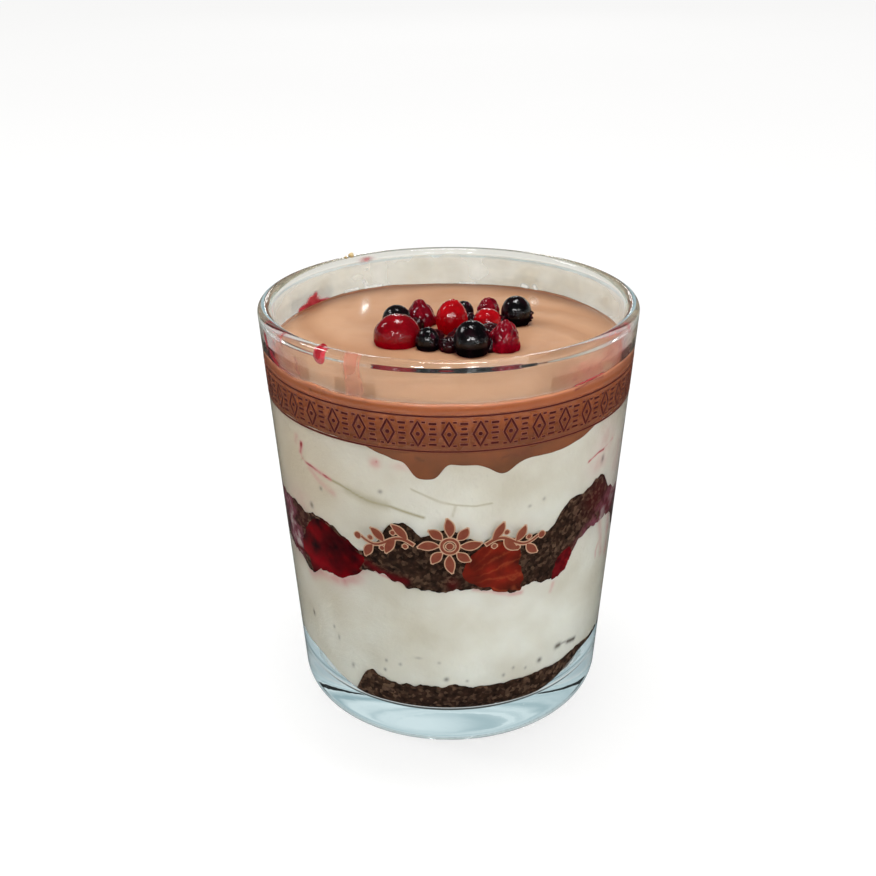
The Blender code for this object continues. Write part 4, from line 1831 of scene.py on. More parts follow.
@dataclass(frozen=True)
class Berry:
    """One berry: its node, kind, middle, half sizes, lean and turn, and its crown's lean."""

    node: str
    kind: BerryKind
    middle: Point
    half: Point
    lean: float = 0.0
    turn: float = 0.0
    crown: Place = (150.0, 0.0)
    crown_rise: float = 0.05
    taper: float = 0.0
    melt: float = 0.045
    rows: int = 110
    columns: int = 160

    def placed(self, points: np.ndarray) -> np.ndarray:
        """Unit points scaled, narrowed upwards, leant towards +X, turned about Z and moved.

        Args:
            points: the berry's points before its half sizes are applied.

        Returns:
            The points in place.
        """
        lean, turn = math.radians(self.lean), math.radians(self.turn)
        right, up = math.sin(lean), math.cos(lean)
        tip = np.array([[up, 0, right], [0, 1, 0], [-right, 0, up]])
        aside, ahead = math.sin(turn), math.cos(turn)
        spin = np.array([[ahead, -aside, 0], [aside, ahead, 0], [0, 0, 1]])
        narrowed = points * np.array(self.half)
        narrowed[:, :2] *= 1.0 - self.taper * points[:, 2:]
        return narrowed @ (spin @ tip).T + np.array(self.middle)

    def smooth_reach(self, ways: np.ndarray) -> tuple[np.ndarray, np.ndarray]:
        """A round berry: slow dents, faint ribs from pole to pole and a withered crown.

        The crown is a ring raised at 13 degrees from its middle, notched into five, with a
        pit inside it.

        Args:
            ways: unit vectors.

        Returns:
            How far the skin reaches each way, and how deep it lies in a fold.
        """
        tilt, spin = np.radians(self.crown)
        middle = np.array([math.sin(tilt) * math.cos(spin), math.sin(tilt) * math.sin(spin), math.cos(tilt)])
        side = np.cross(middle, [0.3, 0.9, 0.2])
        side /= np.linalg.norm(side)
        off = np.degrees(np.arccos(np.clip(ways @ middle, -1.0, 1.0)))
        round_it = np.arctan2(ways @ np.cross(middle, side), ways @ side)
        seed = int(abs(self.middle[0]) * 37 + abs(self.middle[1]) * 11) + 3
        grain = Grain(seed)
        dents = 0.03 * grain.smooth(ways, 0.9) + 0.012 * grain.layered(ways, 0.3)
        ribs = 0.004 * np.cos(9.0 * round_it) * np.sin(np.radians(off)) ** 2
        lobes = 0.75 + 0.45 * np.cos(5.0 * round_it + 2.0 * grain.smooth(ways, 0.2))
        raised = bell(off - 13.0, 3.6, 2.0) * lobes
        reach = 1.0 + dents + ribs + self.crown_rise * (raised - 0.8 * bell(off, 7.0, 2.0))
        fold = np.clip(0.8 * bell(off, 12.0, 4.0) + 0.25 * grain.layered(ways, 0.4), 0.0, 1.0)
        return reach, fold

    def drupelet_reach(self, ways: np.ndarray) -> tuple[np.ndarray, np.ndarray]:
        """A raspberry: the farthest of many small balls set on a core, seen each way.

        Along a way w, a ball with middle c and size s reaches w.c + sqrt((w.c)^2 - c.c + s^2).
        The balls melt into each other: the reach is the logarithm of the sum of their powers.

        Args:
            ways: unit vectors.

        Returns:
            How far the skin reaches each way, and how deep it lies between the balls.
        """
        rows, round_it, size = 5, 7, 0.44
        grain = Grain(9 + int(abs(self.middle[0]) * 10))
        balls = [(0.0, 0.0, 1.0)]
        for row in range(1, rows):
            polar = math.pi * row / rows
            count = max(3, round(round_it * math.sin(polar)))
            turn = 2 * np.pi * (np.arange(count) + 0.5 * (row % 2)) / count
            flat = math.sin(polar)
            balls += list(zip(flat * np.cos(turn), flat * np.sin(turn), [math.cos(polar)] * count))
        middles = np.array(balls) * (1.0 - size)
        middles = middles * (1.0 + 0.1 * grain.smooth(middles, 0.3))[:, None]
        along = ways @ middles.T
        room = along**2 - (middles**2).sum(axis=1) + size**2
        reaches = np.where(room > 0.0, along + np.sqrt(np.maximum(room, 0.0)), 0.0)
        order = np.sort(reaches, axis=-1)
        first, second = order[..., -1], order[..., -2]
        melted = self.melt * np.log(np.exp(reaches / self.melt).sum(axis=-1))
        slump = 0.07 * grain.layered(ways, 0.7) + 0.022 * grain.layered(ways, 0.2)
        # Painted shade: the fold darkens the crevices between the balls.
        fold = 1.0 - smoothstep(0.0, 0.12, first - second)
        deep = np.clip(0.25 * fold + 0.5 * grain.layered(ways, 0.4), 0.0, 1.0)
        return melted * 0.97 + slump, deep

    def build(self, bench: Bench) -> None:
        """Work the skin out over all directions and dress it.

        Args:
            bench: where pieces are made and dressed.
        """
        ways = all_ways(self.rows, self.columns)
        poles = np.array([[0.0, 0.0, -1.0], [0.0, 0.0, 1.0]])
        every = np.concatenate([ways.reshape(-1, 3), poles])
        work = self.drupelet_reach if self.kind is BerryKind.RASPBERRY else self.smooth_reach
        reach, fold = work(every)
        points = self.placed(every * reach[:, None])
        rings = points[:-2].reshape(self.rows, self.columns, 3)
        shell = Shell.round(rings, points[-2], points[-1])
        marks = {"fold": fold, "low": 1.0 - smoothstep(-0.16, 0.06, every[:, 2])}
        skin, slot = BERRY_SKINS[self.kind], BERRY_SLOTS[self.kind]
        bench.place("berry_" + self.node, shell, skin, slot, (self.node,), marks)


def berries() -> tuple[Berry, ...]:
    """The eleven berries, from left to right.

    Returns:
        The berries.
    """
    cranberry, red = BerryKind.CRANBERRY, BerryKind.REDCURRANT
    dark, raspberry = BerryKind.DARK_CURRANT, BerryKind.RASPBERRY
    return (
        Berry("cranberry", cranberry, (-11.5, -4.4, 89.3), (5.3, 4.7, 4.8), turn=10, crown=(170.0, 0.0)),
        Berry("dark_currant_left", dark, (-11.9, 4.2, 89.4), (3.5, 3.5, 4.1), crown=(100.0, 40.0)),
        Berry("raspberry_left", raspberry, (-6.5, 9.2, 89.3), (3.6, 3.5, 4.4), -6, 15, taper=0.42),
        Berry("dark_currant_small", dark, (-4.6, -8.3, 89.2), (2.7, 2.6, 3.3), crown=(55.0, -60.0)),
        Berry("redcurrant", red, (0.7, 2.8, 90.9), (3.7, 3.7, 4.3), 4, crown=(25.0, 60.0), taper=0.12),
        Berry("dark_currant_behind", dark, (3.6, 12.0, 89.0), (2.4, 2.4, 2.9), crown=(30.0, -40.0)),
        Berry("dark_currant_front", dark, (5.0, -10.8, 90.1), (4.1, 4.0, 4.6), crown=(150.0, -20.0)),
        Berry("raspberry_back", raspberry, (9.4, 13.6, 88.9), (3.3, 3.0, 3.6), 6, 40, taper=0.15),
        Berry("redcurrant_right", red, (8.9, 5.4, 89.0), (3.3, 3.3, 3.2), crown=(60.0, 90.0)),
        Berry("raspberry_front", raspberry, (12.3, -8.9, 89.6), (3.5, 3.5, 4.6), 12, 70, taper=0.12),
        Berry("dark_currant_right", dark, (15.8, 9.1, 89.9), (3.6, 3.6, 4.1), 0, 0, (96.0, -18.0), 0.14),
    )


BERRIES = berries()


@dataclass
class Chocolate:
    """The chocolate cream: its side on the glass and its flat, faintly swirled top."""

    layer: Layer = Layer(CHOCOLATE_UNDERSIDE, CHOCOLATE_TOP, 40)
    level: float = 87.5
    near_rings: int = 12
    near_step: float = 0.35
    rings: int = 74
    climb_fade: float = 1.1
    calm_fade: float = 2.0
    swirl: float = 0.2
    foot_stain: float = 0.5
    gleams: tuple[Lump, ...] = (
        (-20.4, 21.5, 0.9, 5.6),
        (21.0, 25.5, 0.9, 4.0),
    )
    juice: tuple[Mark, ...] = (
        Streak(((39.0, 87.2), (45.2, 87.9), (50.9, 87.8)), 0.4, 0.8),
        Streak(((-66.0, 88.0), (-60.0, 88.0), (-52.0, 87.7)), 0.4, 0.5),
        Spot(22.0, 75.5, 4.0, 0.7, 0.15),
    )
    dark: tuple[Mark, ...] = (
        Streak(((-9.8, 75.6), (-8.6, 75.4), (-7.6, 75.1)), 0.4, 0.8),
        Streak(((-9.2, 75.0), (-8.0, 75.3)), 0.3, 0.6),
        Streak(((15.4, 75.0), (17.0, 75.5), (19.0, 75.5), (20.4, 75.2)), 0.35, 0.7),
        Streak(((17.6, 74.9), (19.8, 74.8)), 0.3, 0.6),
        Spot(-44.0, 86.6, 0.5, 0.35, 0.8),
        Spot(10.6, 72.8, 5.0, 0.6, 0.25),
        Spot(168.0, 78.0, 2.0, 0.5, 0.5),
    )

    def top(self) -> np.ndarray:
        """Rings from the glass to the middle: a small climb at the glass and slow swirls.

        The climb fades as exp(-distance / its fade). The swirls are noise along a spiral,
        whose turn grows with the radius, and they calm down near the glass.

        Returns:
            Points by ring and column.
        """
        azimuth = self.layer.azimuth[None]
        edge = CHOCOLATE_TOP.at_glass(azimuth)
        wall = TUMBLER.inner(edge) + self.layer.press
        near = self.near_step * np.arange(1, self.near_rings + 1)
        further = (TUMBLER.inside_middle - near[-1]) * np.linspace(0.02, 0.98, self.rings)
        off = np.concatenate([near, near[-1] + further])[:, None]
        radius = np.maximum(wall - off, 0.6)
        flat = from_cylinder(azimuth, radius, 0.0)
        grain = Grain(51)
        twist = np.radians(radius * 3.0)
        x = flat[..., 0] * np.cos(twist) - flat[..., 1] * np.sin(twist)
        y = flat[..., 0] * np.sin(twist) + flat[..., 1] * np.cos(twist)
        swirled = np.stack([x, y * 0.35, 0 * x], axis=-1)
        wave = self.swirl * grain.layered(swirled, 9.0, 3) + 0.05 * grain.layered(flat, 3.0, 2)
        climb = (edge - self.level) * np.exp(-off / self.climb_fade)
        calm = 1.0 - np.exp(-off / self.calm_fade)
        return from_cylinder(azimuth, radius, self.level + climb + wave * calm)

    def shading(self, points: np.ndarray) -> dict[str, np.ndarray]:
        """Painted light and shade: paler ridges, darker hollows, a brown shadow by the glass at the back.

        Args:
            points: the layer's points.

        Returns:
            The marks "swirl", "brown" (also a little towards the front) and "gleam".
        """
        azimuth, radius, height = to_cylinder(points)
        ridge = (height - self.level) / self.swirl
        off = np.clip(TUMBLER.inner(np.full_like(height, self.level)) - radius, 0.0, None)
        back = smoothstep(70.0, 130.0, np.abs(azimuth))
        gleam = np.exp(-off / 0.8)
        for x, y, half_x, half_y in self.gleams:
            away = np.hypot((points[:, 0] - x) / half_x, (points[:, 1] - y) / half_y)
            gleam = np.maximum(gleam, bell(away, 1.0, 3.0))
        # Painted shadow: a brown band along the glass, widest at the back, and a little painted shade towards
        # the front.
        brown = 0.15 * np.exp(-off / 0.9) + 0.8 * back * np.exp(-((off / 3.2) ** 1.5))
        brown = brown + 0.2 * smoothstep(12.0, 28.0, -points[:, 1])
        # Painted light and shade: ridges paler, hollows darker.
        swirl = np.clip(0.5 + 0.45 * ridge, 0.0, 1.0)
        return {"swirl": swirl, "brown": brown, "gleam": np.clip(gleam, 0.0, 1.0)}

    def feet(self, points: np.ndarray) -> np.ndarray:
        """The juice round each berry's foot: a bell of how far a point is past its outline.

        Args:
            points: the layer's points.

        Returns:
            The stain at each point.
        """
        foot = np.zeros(len(points))
        for berry in BERRIES:
            flat = (points[:, :2] - np.array(berry.middle[:2])) / np.array(berry.half[:2])
            past = np.maximum(np.hypot(flat[:, 0], flat[:, 1]) - 0.88, 0.0)
            foot = np.maximum(foot, self.foot_stain * bell(past, 0.1, 1.5))
        return foot

    def build(self, bench: Bench) -> None:
        """Build the layer; mark where it is wet, deep, dark or stained, and its painted shade and highlight.

        Args:
            bench: where pieces are made and dressed.
        """
        shell = self.layer.shell(top=self.top())
        azimuth, height, share = on_side(shell.points)
        below = 1.0 - smoothstep(-0.5, 0.1, height - CHOCOLATE_TOP.at_glass(azimuth))
        depth = 1.0 - smoothstep(72.5, 86.5, height)
        on_top = (height > self.level - 0.6) & (share < 0.5)
        stain = share * strongest(self.juice, azimuth, height)
        stain = stain + np.where(on_top, self.feet(shell.points), 0.0)
        shading = self.shading(shell.points)
        front = 1.0 - smoothstep(75.0, 100.0, np.abs(azimuth))
        # The painted shadow band, kept off the side below the top's edge.
        brown = shading["brown"] * np.where(share < 1.0, 1.0, 1.0 - below)
        marks = {
            "wet": share * below,
            "depth": depth,
            "dark": np.maximum(share * strongest(self.dark, azimuth, height), brown),
            "juice": np.clip(stain, 0.0, 1.0),
            "swirl": shading["swirl"],
            "gleam": shading["gleam"],
            # Painted highlight: a thin line just under the edge, towards the front.
            "edge": share * front * 0.9 * bell(height - CHOCOLATE_TOP.at_glass(azimuth) + 0.3, 0.26, 2.0),
        }
        finish = WhippedChocolate("whipped_chocolate")
        bench.place("chocolate_whip", shell, finish, "chocolate_cream", ("chocolate_cream",), marks)


SEATED = 0.004  # How far a print's lower side stands off the glass.


class Ink(Enum):
    """Which of a print's two colours a stroke has, and how far it stands off the glass."""

    OUTLINE = 0.03
    BODY = 0.06


@dataclass(frozen=True)
class PenStroke:
    """A printed stroke along a path in millimetres across and up, with a width at each step."""

    path: np.ndarray
    width: np.ndarray
    closed: bool = False

    def ribbon(self, lift: float, widen: float, across: float, height: float) -> Shell:
        """A flat closed ribbon on the glass.

        Each step has four corners: the path moved half a width to both sides, at the lift
        and at the glass. Across becomes an azimuth at the glass's outer radius.

        Args:
            lift: how far it stands off the glass.
            widen: how much wider it is than the stroke, on each side.
            across: the print's place round the glass, in millimetres.
            height: the print's height.

        Returns:
            The ribbon as a shell.
        """
        path = self.path
        ahead = np.roll(path, -1, axis=0) - np.roll(path, 1, axis=0)
        if not self.closed:
            ahead[0], ahead[-1] = path[1] - path[0], path[-1] - path[-2]
        ahead = ahead / np.maximum(np.linalg.norm(ahead, axis=1, keepdims=True), 1e-9)
        left = np.stack([-ahead[:, 1], ahead[:, 0]], -1) * (self.width / 2.0 + widen)[:, None]
        if widen and not self.closed:
            path = path.copy()
            path[0] -= ahead[0] * widen
            path[-1] += ahead[-1] * widen
        corners = np.stack([path + left, path - left, path - left, path + left], axis=1)
        rise = np.array([lift, lift, SEATED, SEATED])[None]
        z = height + corners[..., 1]
        outer = TUMBLER.outer(z)
        azimuth = np.degrees((across + corners[..., 0]) / TUMBLER.outer(np.array(height)))
        points = from_cylinder(azimuth, outer + rise, z)
        return Shell.hoop(points) if self.closed else Shell.bar(points)


def line(start: Place, end: Place, width: float, steps: int = 2) -> PenStroke:
    """A straight stroke of one width."""
    path = np.linspace(start, end, steps)
    return PenStroke(path, np.full(steps, width))


def leaf(start: Place, angle: float, length: float, width: float, steps: int = 15) -> PenStroke:
    """A pointed leaf: its width is the full width times the sine of the way along, to 0.8.

    Args:
        start: where it springs from.
        angle: its direction, from across towards up.
        length, width: its size.
        steps: points along it.

    Returns:
        The stroke.
    """
    along = np.linspace(0.0, 1.0, steps)
    turn = np.radians(angle + 14.0 * (along - 0.5))
    path = np.array(start) + length * along[:, None] * np.stack([np.cos(turn), np.sin(turn)], -1)
    return PenStroke(path, np.maximum(width * np.sin(np.pi * along) ** 0.8, 0.02))


def dot(middle: Place, radius: float, steps: int = 13) -> PenStroke:
    """A round dot: the width at each step is that of a circle there.

    Args:
        middle, radius: where it is, and its size.
        steps: points across it.

    Returns:
        The stroke.
    """
    along = np.linspace(-0.999, 0.999, steps)
    path = np.array(middle) + radius * np.stack([along, 0 * along], -1)
    return PenStroke(path, np.maximum(2 * radius * np.sqrt(1 - along**2), 0.02))


def loop(middle: Place, half: Place, width: float, power: float, steps: int) -> PenStroke:
    """A closed outline: |x|^power + |y|^power is one; 1 is a lozenge and 2 an oval.

    Args:
        middle, half: where its middle is, and its half sizes.
        width: the stroke's width.
        power: the outline's power.
        steps: points along it.

    Returns:
        The closed stroke.
    """
    turn = np.linspace(0.0, 2 * np.pi, steps, endpoint=False)
    cosine, sine = np.cos(turn), np.sin(turn)
    size = (np.abs(cosine) ** power + np.abs(sine) ** power) ** (-1.0 / power)
    path = np.array(middle) + np.stack([half[0] * size * cosine, half[1] * size * sine], -1)
    return PenStroke(path, np.full(steps, width), closed=True)


BORDER_INK = GlassPrint("border_ink", paint(74, 14, 12), paint(98, 28, 22))
BORDER_EDGE = GlassPrint("border_edge", paint(168, 92, 66), paint(140, 72, 50))
ORNAMENT_INK = GlassPrint("ornament_ink", paint(142, 66, 46), paint(156, 80, 56))
ORNAMENT_EDGE = GlassPrint("ornament_edge", paint(226, 184, 152), paint(210, 164, 130))


@dataclass
class Prints:
    """The printed border round the glass and the ornament on its front."""

    border_height: float = 81.75
    border_half: float = 3.9
    repeats: int = 42
    ornament_height: float = 55.5
    outline: float = 0.2
    rail: float = 0.26

    def border_motif(self) -> list[PenStroke]:
        """One repeat of the border: a lozenge with a dot, and a stack of bars beside it.

        Returns:
            The strokes of one repeat.
        """
        strokes = [loop((0.0, 0.0), (1.4, 2.7), 0.4, 1.0, 24), dot((0.0, 0.0), 0.42)]
        for rise in (2.6, -2.6):
            for near, far in ((-1.5, -0.8), (0.8, 1.5)):
                strokes.append(line((near, rise), (far, rise), 0.34))
        for rise, half in ((2.3, 0.75), (1.15, 0.55), (0.0, 0.75), (-1.15, 0.55), (-2.3, 0.75)):
            strokes.append(line((2.95 - half, rise), (2.95 + half, rise), 0.42))
        return strokes

    def rail_shell(self, rise: float, lift: float, width: float) -> Shell:
        """A thin line all the way round, as a four-cornered outline carried round.

        Args:
            rise: its height above the border's middle.
            lift: how far it stands off the glass.
            width: its width.

        Returns:
            The shell.
        """
        azimuth = np.arange(288) * 1.25
        z = self.border_height + rise + np.array([-width, -width, width, width])[:, None] / 2.0
        out = np.array([SEATED, lift, lift, SEATED])[:, None]
        return Shell.hoop(from_cylinder(azimuth[None], TUMBLER.outer(z) + out, z))

    def ornament(self) -> list[PenStroke]:
        """The front ornament: an eight-petalled rosette with a leafy sprig on each side.

        Returns:
            The ornament's strokes.
        """
        strokes = [loop((0.0, 0.0), (1.7, 1.7), 0.55, 2.0, 32), dot((0.0, 0.0), 0.75)]
        for petal in range(8):
            angle = 45.0 * petal
            start = (2.3 * math.cos(math.radians(angle)), 2.3 * math.sin(math.radians(angle)))
            long = 4.4 if petal % 2 == 0 else 3.4
            strokes.append(leaf(start, angle, long, 1.9))
        for side in (-1.0, 1.0):
            along = np.linspace(0.0, 1.0, 40)
            path = np.stack([side * (7.6 + 11.8 * along), 1.2 * np.sin(2 * np.pi * along)], -1)
            strokes.append(PenStroke(path, 0.62 - 0.25 * along))
            for share, up in ((0.12, 1), (0.34, -1), (0.56, 1), (0.78, -1)):
                at = (side * (7.6 + 11.8 * share), 1.2 * math.sin(2 * math.pi * share) + 0.3 * up)
                angle = 90.0 - side * 90.0 + side * up * 52.0
                strokes.append(leaf(at, angle, 4.6 - 1.2 * share, 1.75))
                opposite = (at[0] + side * 0.4, at[1] - 0.9 * up)
                strokes.append(dot((opposite[0], opposite[1] - 0.8 * up), 0.5))
            strokes.append(dot((side * 20.3, 0.0), 0.75))
        return strokes

    def build(self, bench: Bench) -> None:
        """Print each stroke twice: a wider outline below and the body above it.

        Args:
            bench: where pieces are made and dressed.
        """
        spacing = 2 * np.pi * float(TUMBLER.outer(np.array(self.border_height))) / self.repeats
        steps = itertools.product(range(self.repeats), self.border_motif())
        border = [(stroke, spacing * repeat, self.border_height) for repeat, stroke in steps]
        ornament = [(stroke, 0.0, self.ornament_height) for stroke in self.ornament()]
        rails = (self.border_half, -self.border_half)
        jobs = (
            ("border_body", Ink.BODY, 0.0, border, rails, BORDER_INK),
            ("border_outline", Ink.OUTLINE, 0.7 * self.outline, border, rails, BORDER_EDGE),
            ("ornament_body", Ink.BODY, 0.0, ornament, (), ORNAMENT_INK),
            ("ornament_outline", Ink.OUTLINE, self.outline + 0.07, ornament, (), ORNAMENT_EDGE),
        )
        for name, ink, widen, strokes, rises, finish in jobs:
            shells = [stroke.ribbon(ink.value, widen, across, height) for stroke, across, height in strokes]
            shells += [self.rail_shell(rise, ink.value, self.rail + 2 * widen) for rise in rises]
            bench.place(name, Shell.joined(shells), finish, sharp=40.0)


@dataclass(frozen=True)
class Film:
    """A thin film in the glass, as thick to the eye as its cover: juice, painted sheen, painted glints."""

    name: str
    turns: Place
    heights: Place
    marks: tuple[Mark, ...]
    finish: ThinSmear
    slot: str
    strength: float = 1.0
    scale: float = 2.0
    seed: int = 61
    depth: float = 0.1
    thickness: float = 0.05
    turn_step: float = 0.6
    height_step: float = 0.22

    def build(self, bench: Bench) -> None:
        """Lay the film in the wall, at its depth.

        Its outer side shows nothing, and its inner one shows the cover.

        Args:
            bench: where pieces are made and dressed.
        """
        columns = max(24, int(abs(self.turns[1] - self.turns[0]) / self.turn_step))
        rows = max(12, int((self.heights[1] - self.heights[0]) / self.height_step))
        azimuth = np.linspace(self.turns[0], self.turns[1], columns)[None]
        height = np.linspace(self.heights[0], self.heights[1], rows)[:, None]
        free = from_cylinder(azimuth, TUMBLER.inner(height) + self.depth, height)
        glass = from_cylinder(azimuth, TUMBLER.inner(height) + self.depth + self.thickness, height)
        cover = strongest(self.marks, azimuth, height)
        noise = Grain(self.seed).layered(free, self.scale)
        cover = np.clip(cover * (0.8 + 0.35 * noise) * self.strength, 0.0, 1.0)
        outline = np.concatenate([free, glass[::-1]], axis=0).transpose(1, 0, 2)[::-1]
        shown = np.concatenate([cover, 0 * cover], axis=0).T[::-1]
        shell = Shell.bar(outline)
        bench.place(self.name, shell, self.finish, self.slot, marks={"cover": shown.ravel()})


@dataclass
class Smears:
    """Juice left on the glass above the chocolate, painted sheen and glints, crumbs on the rim, and pulp."""

    drop_place: Place = (-39.7, 94.8)
    drop_half: Place = (1.5, 1.95)
    drop_depth: float = 0.45
    drop_radius: float = 39.5
    sunk: float = 0.04
    rim_crumbs: tuple[Lump, ...] = ((-143.6, 41.0, 97.15, 0.95), (-141.2, 40.8, 96.9, 0.6))
    pulp_lumps: tuple[tuple[Point, Point], ...] = (
        ((0.3, -9.0, 88.2), (2.7, 2.4, 2.3)),
        ((-3.4, -4.4, 88.5), (2.6, 2.8, 2.2)),
        ((2.6, -4.6, 88.5), (3.0, 3.4, 2.3)),
        ((9.0, -2.6, 88.7), (3.0, 3.4, 2.6)),
        ((9.0, -8.8, 88.1), (1.8, 2.4, 2.3)),
        ((4.6, 7.0, 88.3), (2.4, 2.6, 2.1)),
        ((12.2, 7.0, 88.2), (2.0, 2.2, 1.9)),
        ((-7.6, 5.6, 88.2), (1.8, 2.0, 1.9)),
    )

    def films(self) -> tuple[Film, ...]:
        """Each film with its marks.

        Returns:
            The films.
        """
        juice = ThinSmear("juice_film")
        # Painted sheen: a pale cream-coloured film stands in for light seen on the glass above the chocolate.
        haze = ThinSmear("painted_sheen_film", paint(210, 195, 168), paint(222, 210, 188), 0.4)
        streak = ThinSmear("salmon_film", paint(196, 96, 82), paint(220, 140, 118))
        return (
            Film(
                "painted_sheen_back",
                (94.0, 266.0),
                (87.6, 95.6),
                (
                    Spot(180.0, 90.6, 92.0, 5.4, 0.62, 6),
                    Spot(150.0, 89.0, 20.0, 3.0, 0.75, 3),
                    Spot(214.0, 90.0, 18.0, 3.0, 0.7, 3),
                    Spot(234.0, 90.6, 12.0, 4.0, 0.6, 3),
                ),
                haze,
                "cream",
                scale=7.0,
                seed=62,
            ),
            Film(
                "painted_sheen_front",
                (-92.0, 92.0),
                (87.8, 95.6),
                (
                    Spot(-86.0, 91.4, 15.0, 4.6, 0.55, 4),
                    Spot(84.0, 91.4, 18.0, 4.6, 0.6, 4),
                    Spot(84.0, 89.2, 11.0, 2.2, 0.6, 3),
                ),
                haze,
                "cream",
                scale=4.0,
                seed=63,
                depth=0.02,
            ),
            Film(
                "juice_left",
                (-76.0, -44.0),
                (87.6, 96.4),
                (
                    Streak(((-69.6, 93.2), (-68.8, 91.4)), 1.7, 1.0, 3.0),
                    Streak(((-65.4, 90.0), (-63.2, 89.2), (-61.4, 88.5)), 1.7, 1.0, 3.0),
                    Spot(-57.6, 95.9, 2.2, 1.0, 1.0, 3),
                    Streak(((-57.4, 95.4), (-56.2, 93.8)), 0.5, 0.7),
                    Streak(((-49.9, 92.6), (-49.0, 91.4), (-49.8, 90.2), (-48.4, 89.0)), 0.45, 0.5),
                    Spot(-60.0, 92.0, 7.0, 2.6, 0.3),
                    Spot(-52.0, 90.6, 5.0, 2.0, 0.22),
                    Streak(((-72.0, 88.4), (-64.0, 88.2), (-54.0, 88.0)), 0.5, 0.5),
                ),
                juice,
                "compote",
            ),
            Film(
                "juice_streak",
                (-34.0, -21.0),
                (87.8, 96.4),
                (
                    Streak(((-28.3, 96.4), (-28.2, 93.0), (-27.6, 88.2)), 3.2, 0.6, 6.0),
                    Streak(((-30.2, 96.2), (-30.0, 93.0), (-29.8, 89.0)), 0.4, 0.75),
                    Streak(((-25.8, 96.0), (-25.6, 93.0), (-24.8, 89.0)), 0.4, 0.75),
                ),
                streak,
                "compote",
                scale=3.0,
            ),
            Film(
                "juice_right",
                (30.0, 76.0),
                (87.8, 96.6),
                (
                    Spot(44.0, 90.6, 7.0, 2.4, 0.3),
                    Spot(58.0, 92.4, 8.0, 3.0, 0.32),
                    Streak(((38.0, 89.6), (47.0, 91.2), (60.0, 93.4)), 1.2, 0.28),
                    Streak(((40.0, 95.9), (48.0, 95.8), (56.0, 95.7)), 0.6, 1.0, 3.0),
                    Streak(((52.0, 95.7), (60.0, 95.6), (66.5, 95.6)), 1.1, 1.0, 4.0),
                    Streak(((64.5, 95.8), (66.5, 94.2)), 0.9, 0.6),
                    Streak(((38.5, 88.1), (45.0, 88.4), (51.0, 88.6)), 0.5, 0.75),
                ),
                juice,
                "compote",
                strength=1.25,
            ),
            Film(
                "juice_back",
                (-134.0, -110.0),
                (87.6, 93.0),
                (
                    Spot(-123.5, 88.9, 3.2, 1.2, 1.0, 4),
                    Streak(((-115.5, 87.9), (-122.0, 88.6), (-131.0, 87.7)), 1.2, 1.0, 3.0),
                    Streak(((-124.2, 89.2), (-125.2, 90.1)), 1.3, 1.0, 3.0),
                ),
                juice,
                "compote",
                strength=2.0,
                depth=0.02,
            ),
            # Painted highlights: white spots stand in for the glints on the wet edge at the back.
            Film(
                "painted_glints_back",
                (-158.0, 180.0),
                (87.4, 91.2),
                (
                    Streak(((-144.5, 88.7), (-139.5, 88.5)), 0.8, 1.0, 3.0),
                    Streak(((-154.5, 88.5), (-148.0, 88.6)), 0.6, 1.0, 3.0),
                    Streak(((-147.5, 90.3), (-148.3, 89.4)), 0.7, 0.8, 3.0),
                    Streak(((151.5, 88.6), (150.0, 88.3)), 0.9, 1.0, 3.0),
                    Streak(((146.8, 88.9), (146.2, 88.2)), 0.8, 1.0, 3.0),
                    Streak(((176.0, 88.0), (170.0, 88.0)), 0.3, 0.9, 3.0),
                ),
                ThinSmear("painted_glint_film", paint(255, 253, 250), paint(250, 248, 244), 0.3),
                "cream",
                strength=1.6,
                depth=0.02,
            ),
            Film(
                "juice_rim",
                (-158.0, -140.0),
                (94.0, 96.7),
                (Spot(-148.5, 95.9, 2.6, 0.6, 0.6, 3),),
                juice,
                "compote",
                depth=0.02,
            ),
        )

    def drop(self, bench: Bench) -> None:
        """The thick drop under the rim: a pear-shaped bead flattened on the glass.

        Its half width shrinks upwards, and its depth is the thickness times the sine of the
        row's angle. It is sunk a hair into the wall.

        Args:
            bench: where pieces are made and dressed.
        """
        turn_at, level = self.drop_place
        half_across, half_up = self.drop_half
        angle = np.linspace(0.0, np.pi, 42)[1:-1][:, None]
        turn = np.linspace(0.0, 2 * np.pi, 72, endpoint=False)[None]
        rise = half_up * np.sin(angle) * np.sin(turn)
        across = (half_across - 0.04 * rise) * np.sin(angle) * np.cos(turn)
        depth = self.drop_depth * (1.0 + np.cos(angle)) + 0 * turn
        height = level + rise
        azimuth = turn_at + across / (math.radians(1.0) * self.drop_radius)
        rings = from_cylinder(azimuth, TUMBLER.inner(height) - depth + self.sunk, height)[:, ::-1]
        wall = TUMBLER.inner(np.array(level))
        near = from_cylinder(turn_at, wall - 0.92, level)
        far = from_cylinder(turn_at, wall + self.sunk, level)
        finish = BerrySkin("juice_drop", paint(190, 20, 38), paint(150, 10, 26), paint(100, 4, 14), 0.1, 0.08)
        shell = Shell.round(rings, near, far)
        none = np.zeros(len(shell.points))
        bench.place("juice_bead", shell, finish, "compote", marks={"fold": none, "low": none})

    @staticmethod
    def lump(rings: np.ndarray, middle: np.ndarray, pole: float) -> Shell:
        """Rings round a middle, closed by poles that far above and below it."""
        low, high = (middle + np.array([0.0, 0.0, side * pole]) for side in (-1.0, 1.0))
        return Shell.round(rings + middle, low, high)

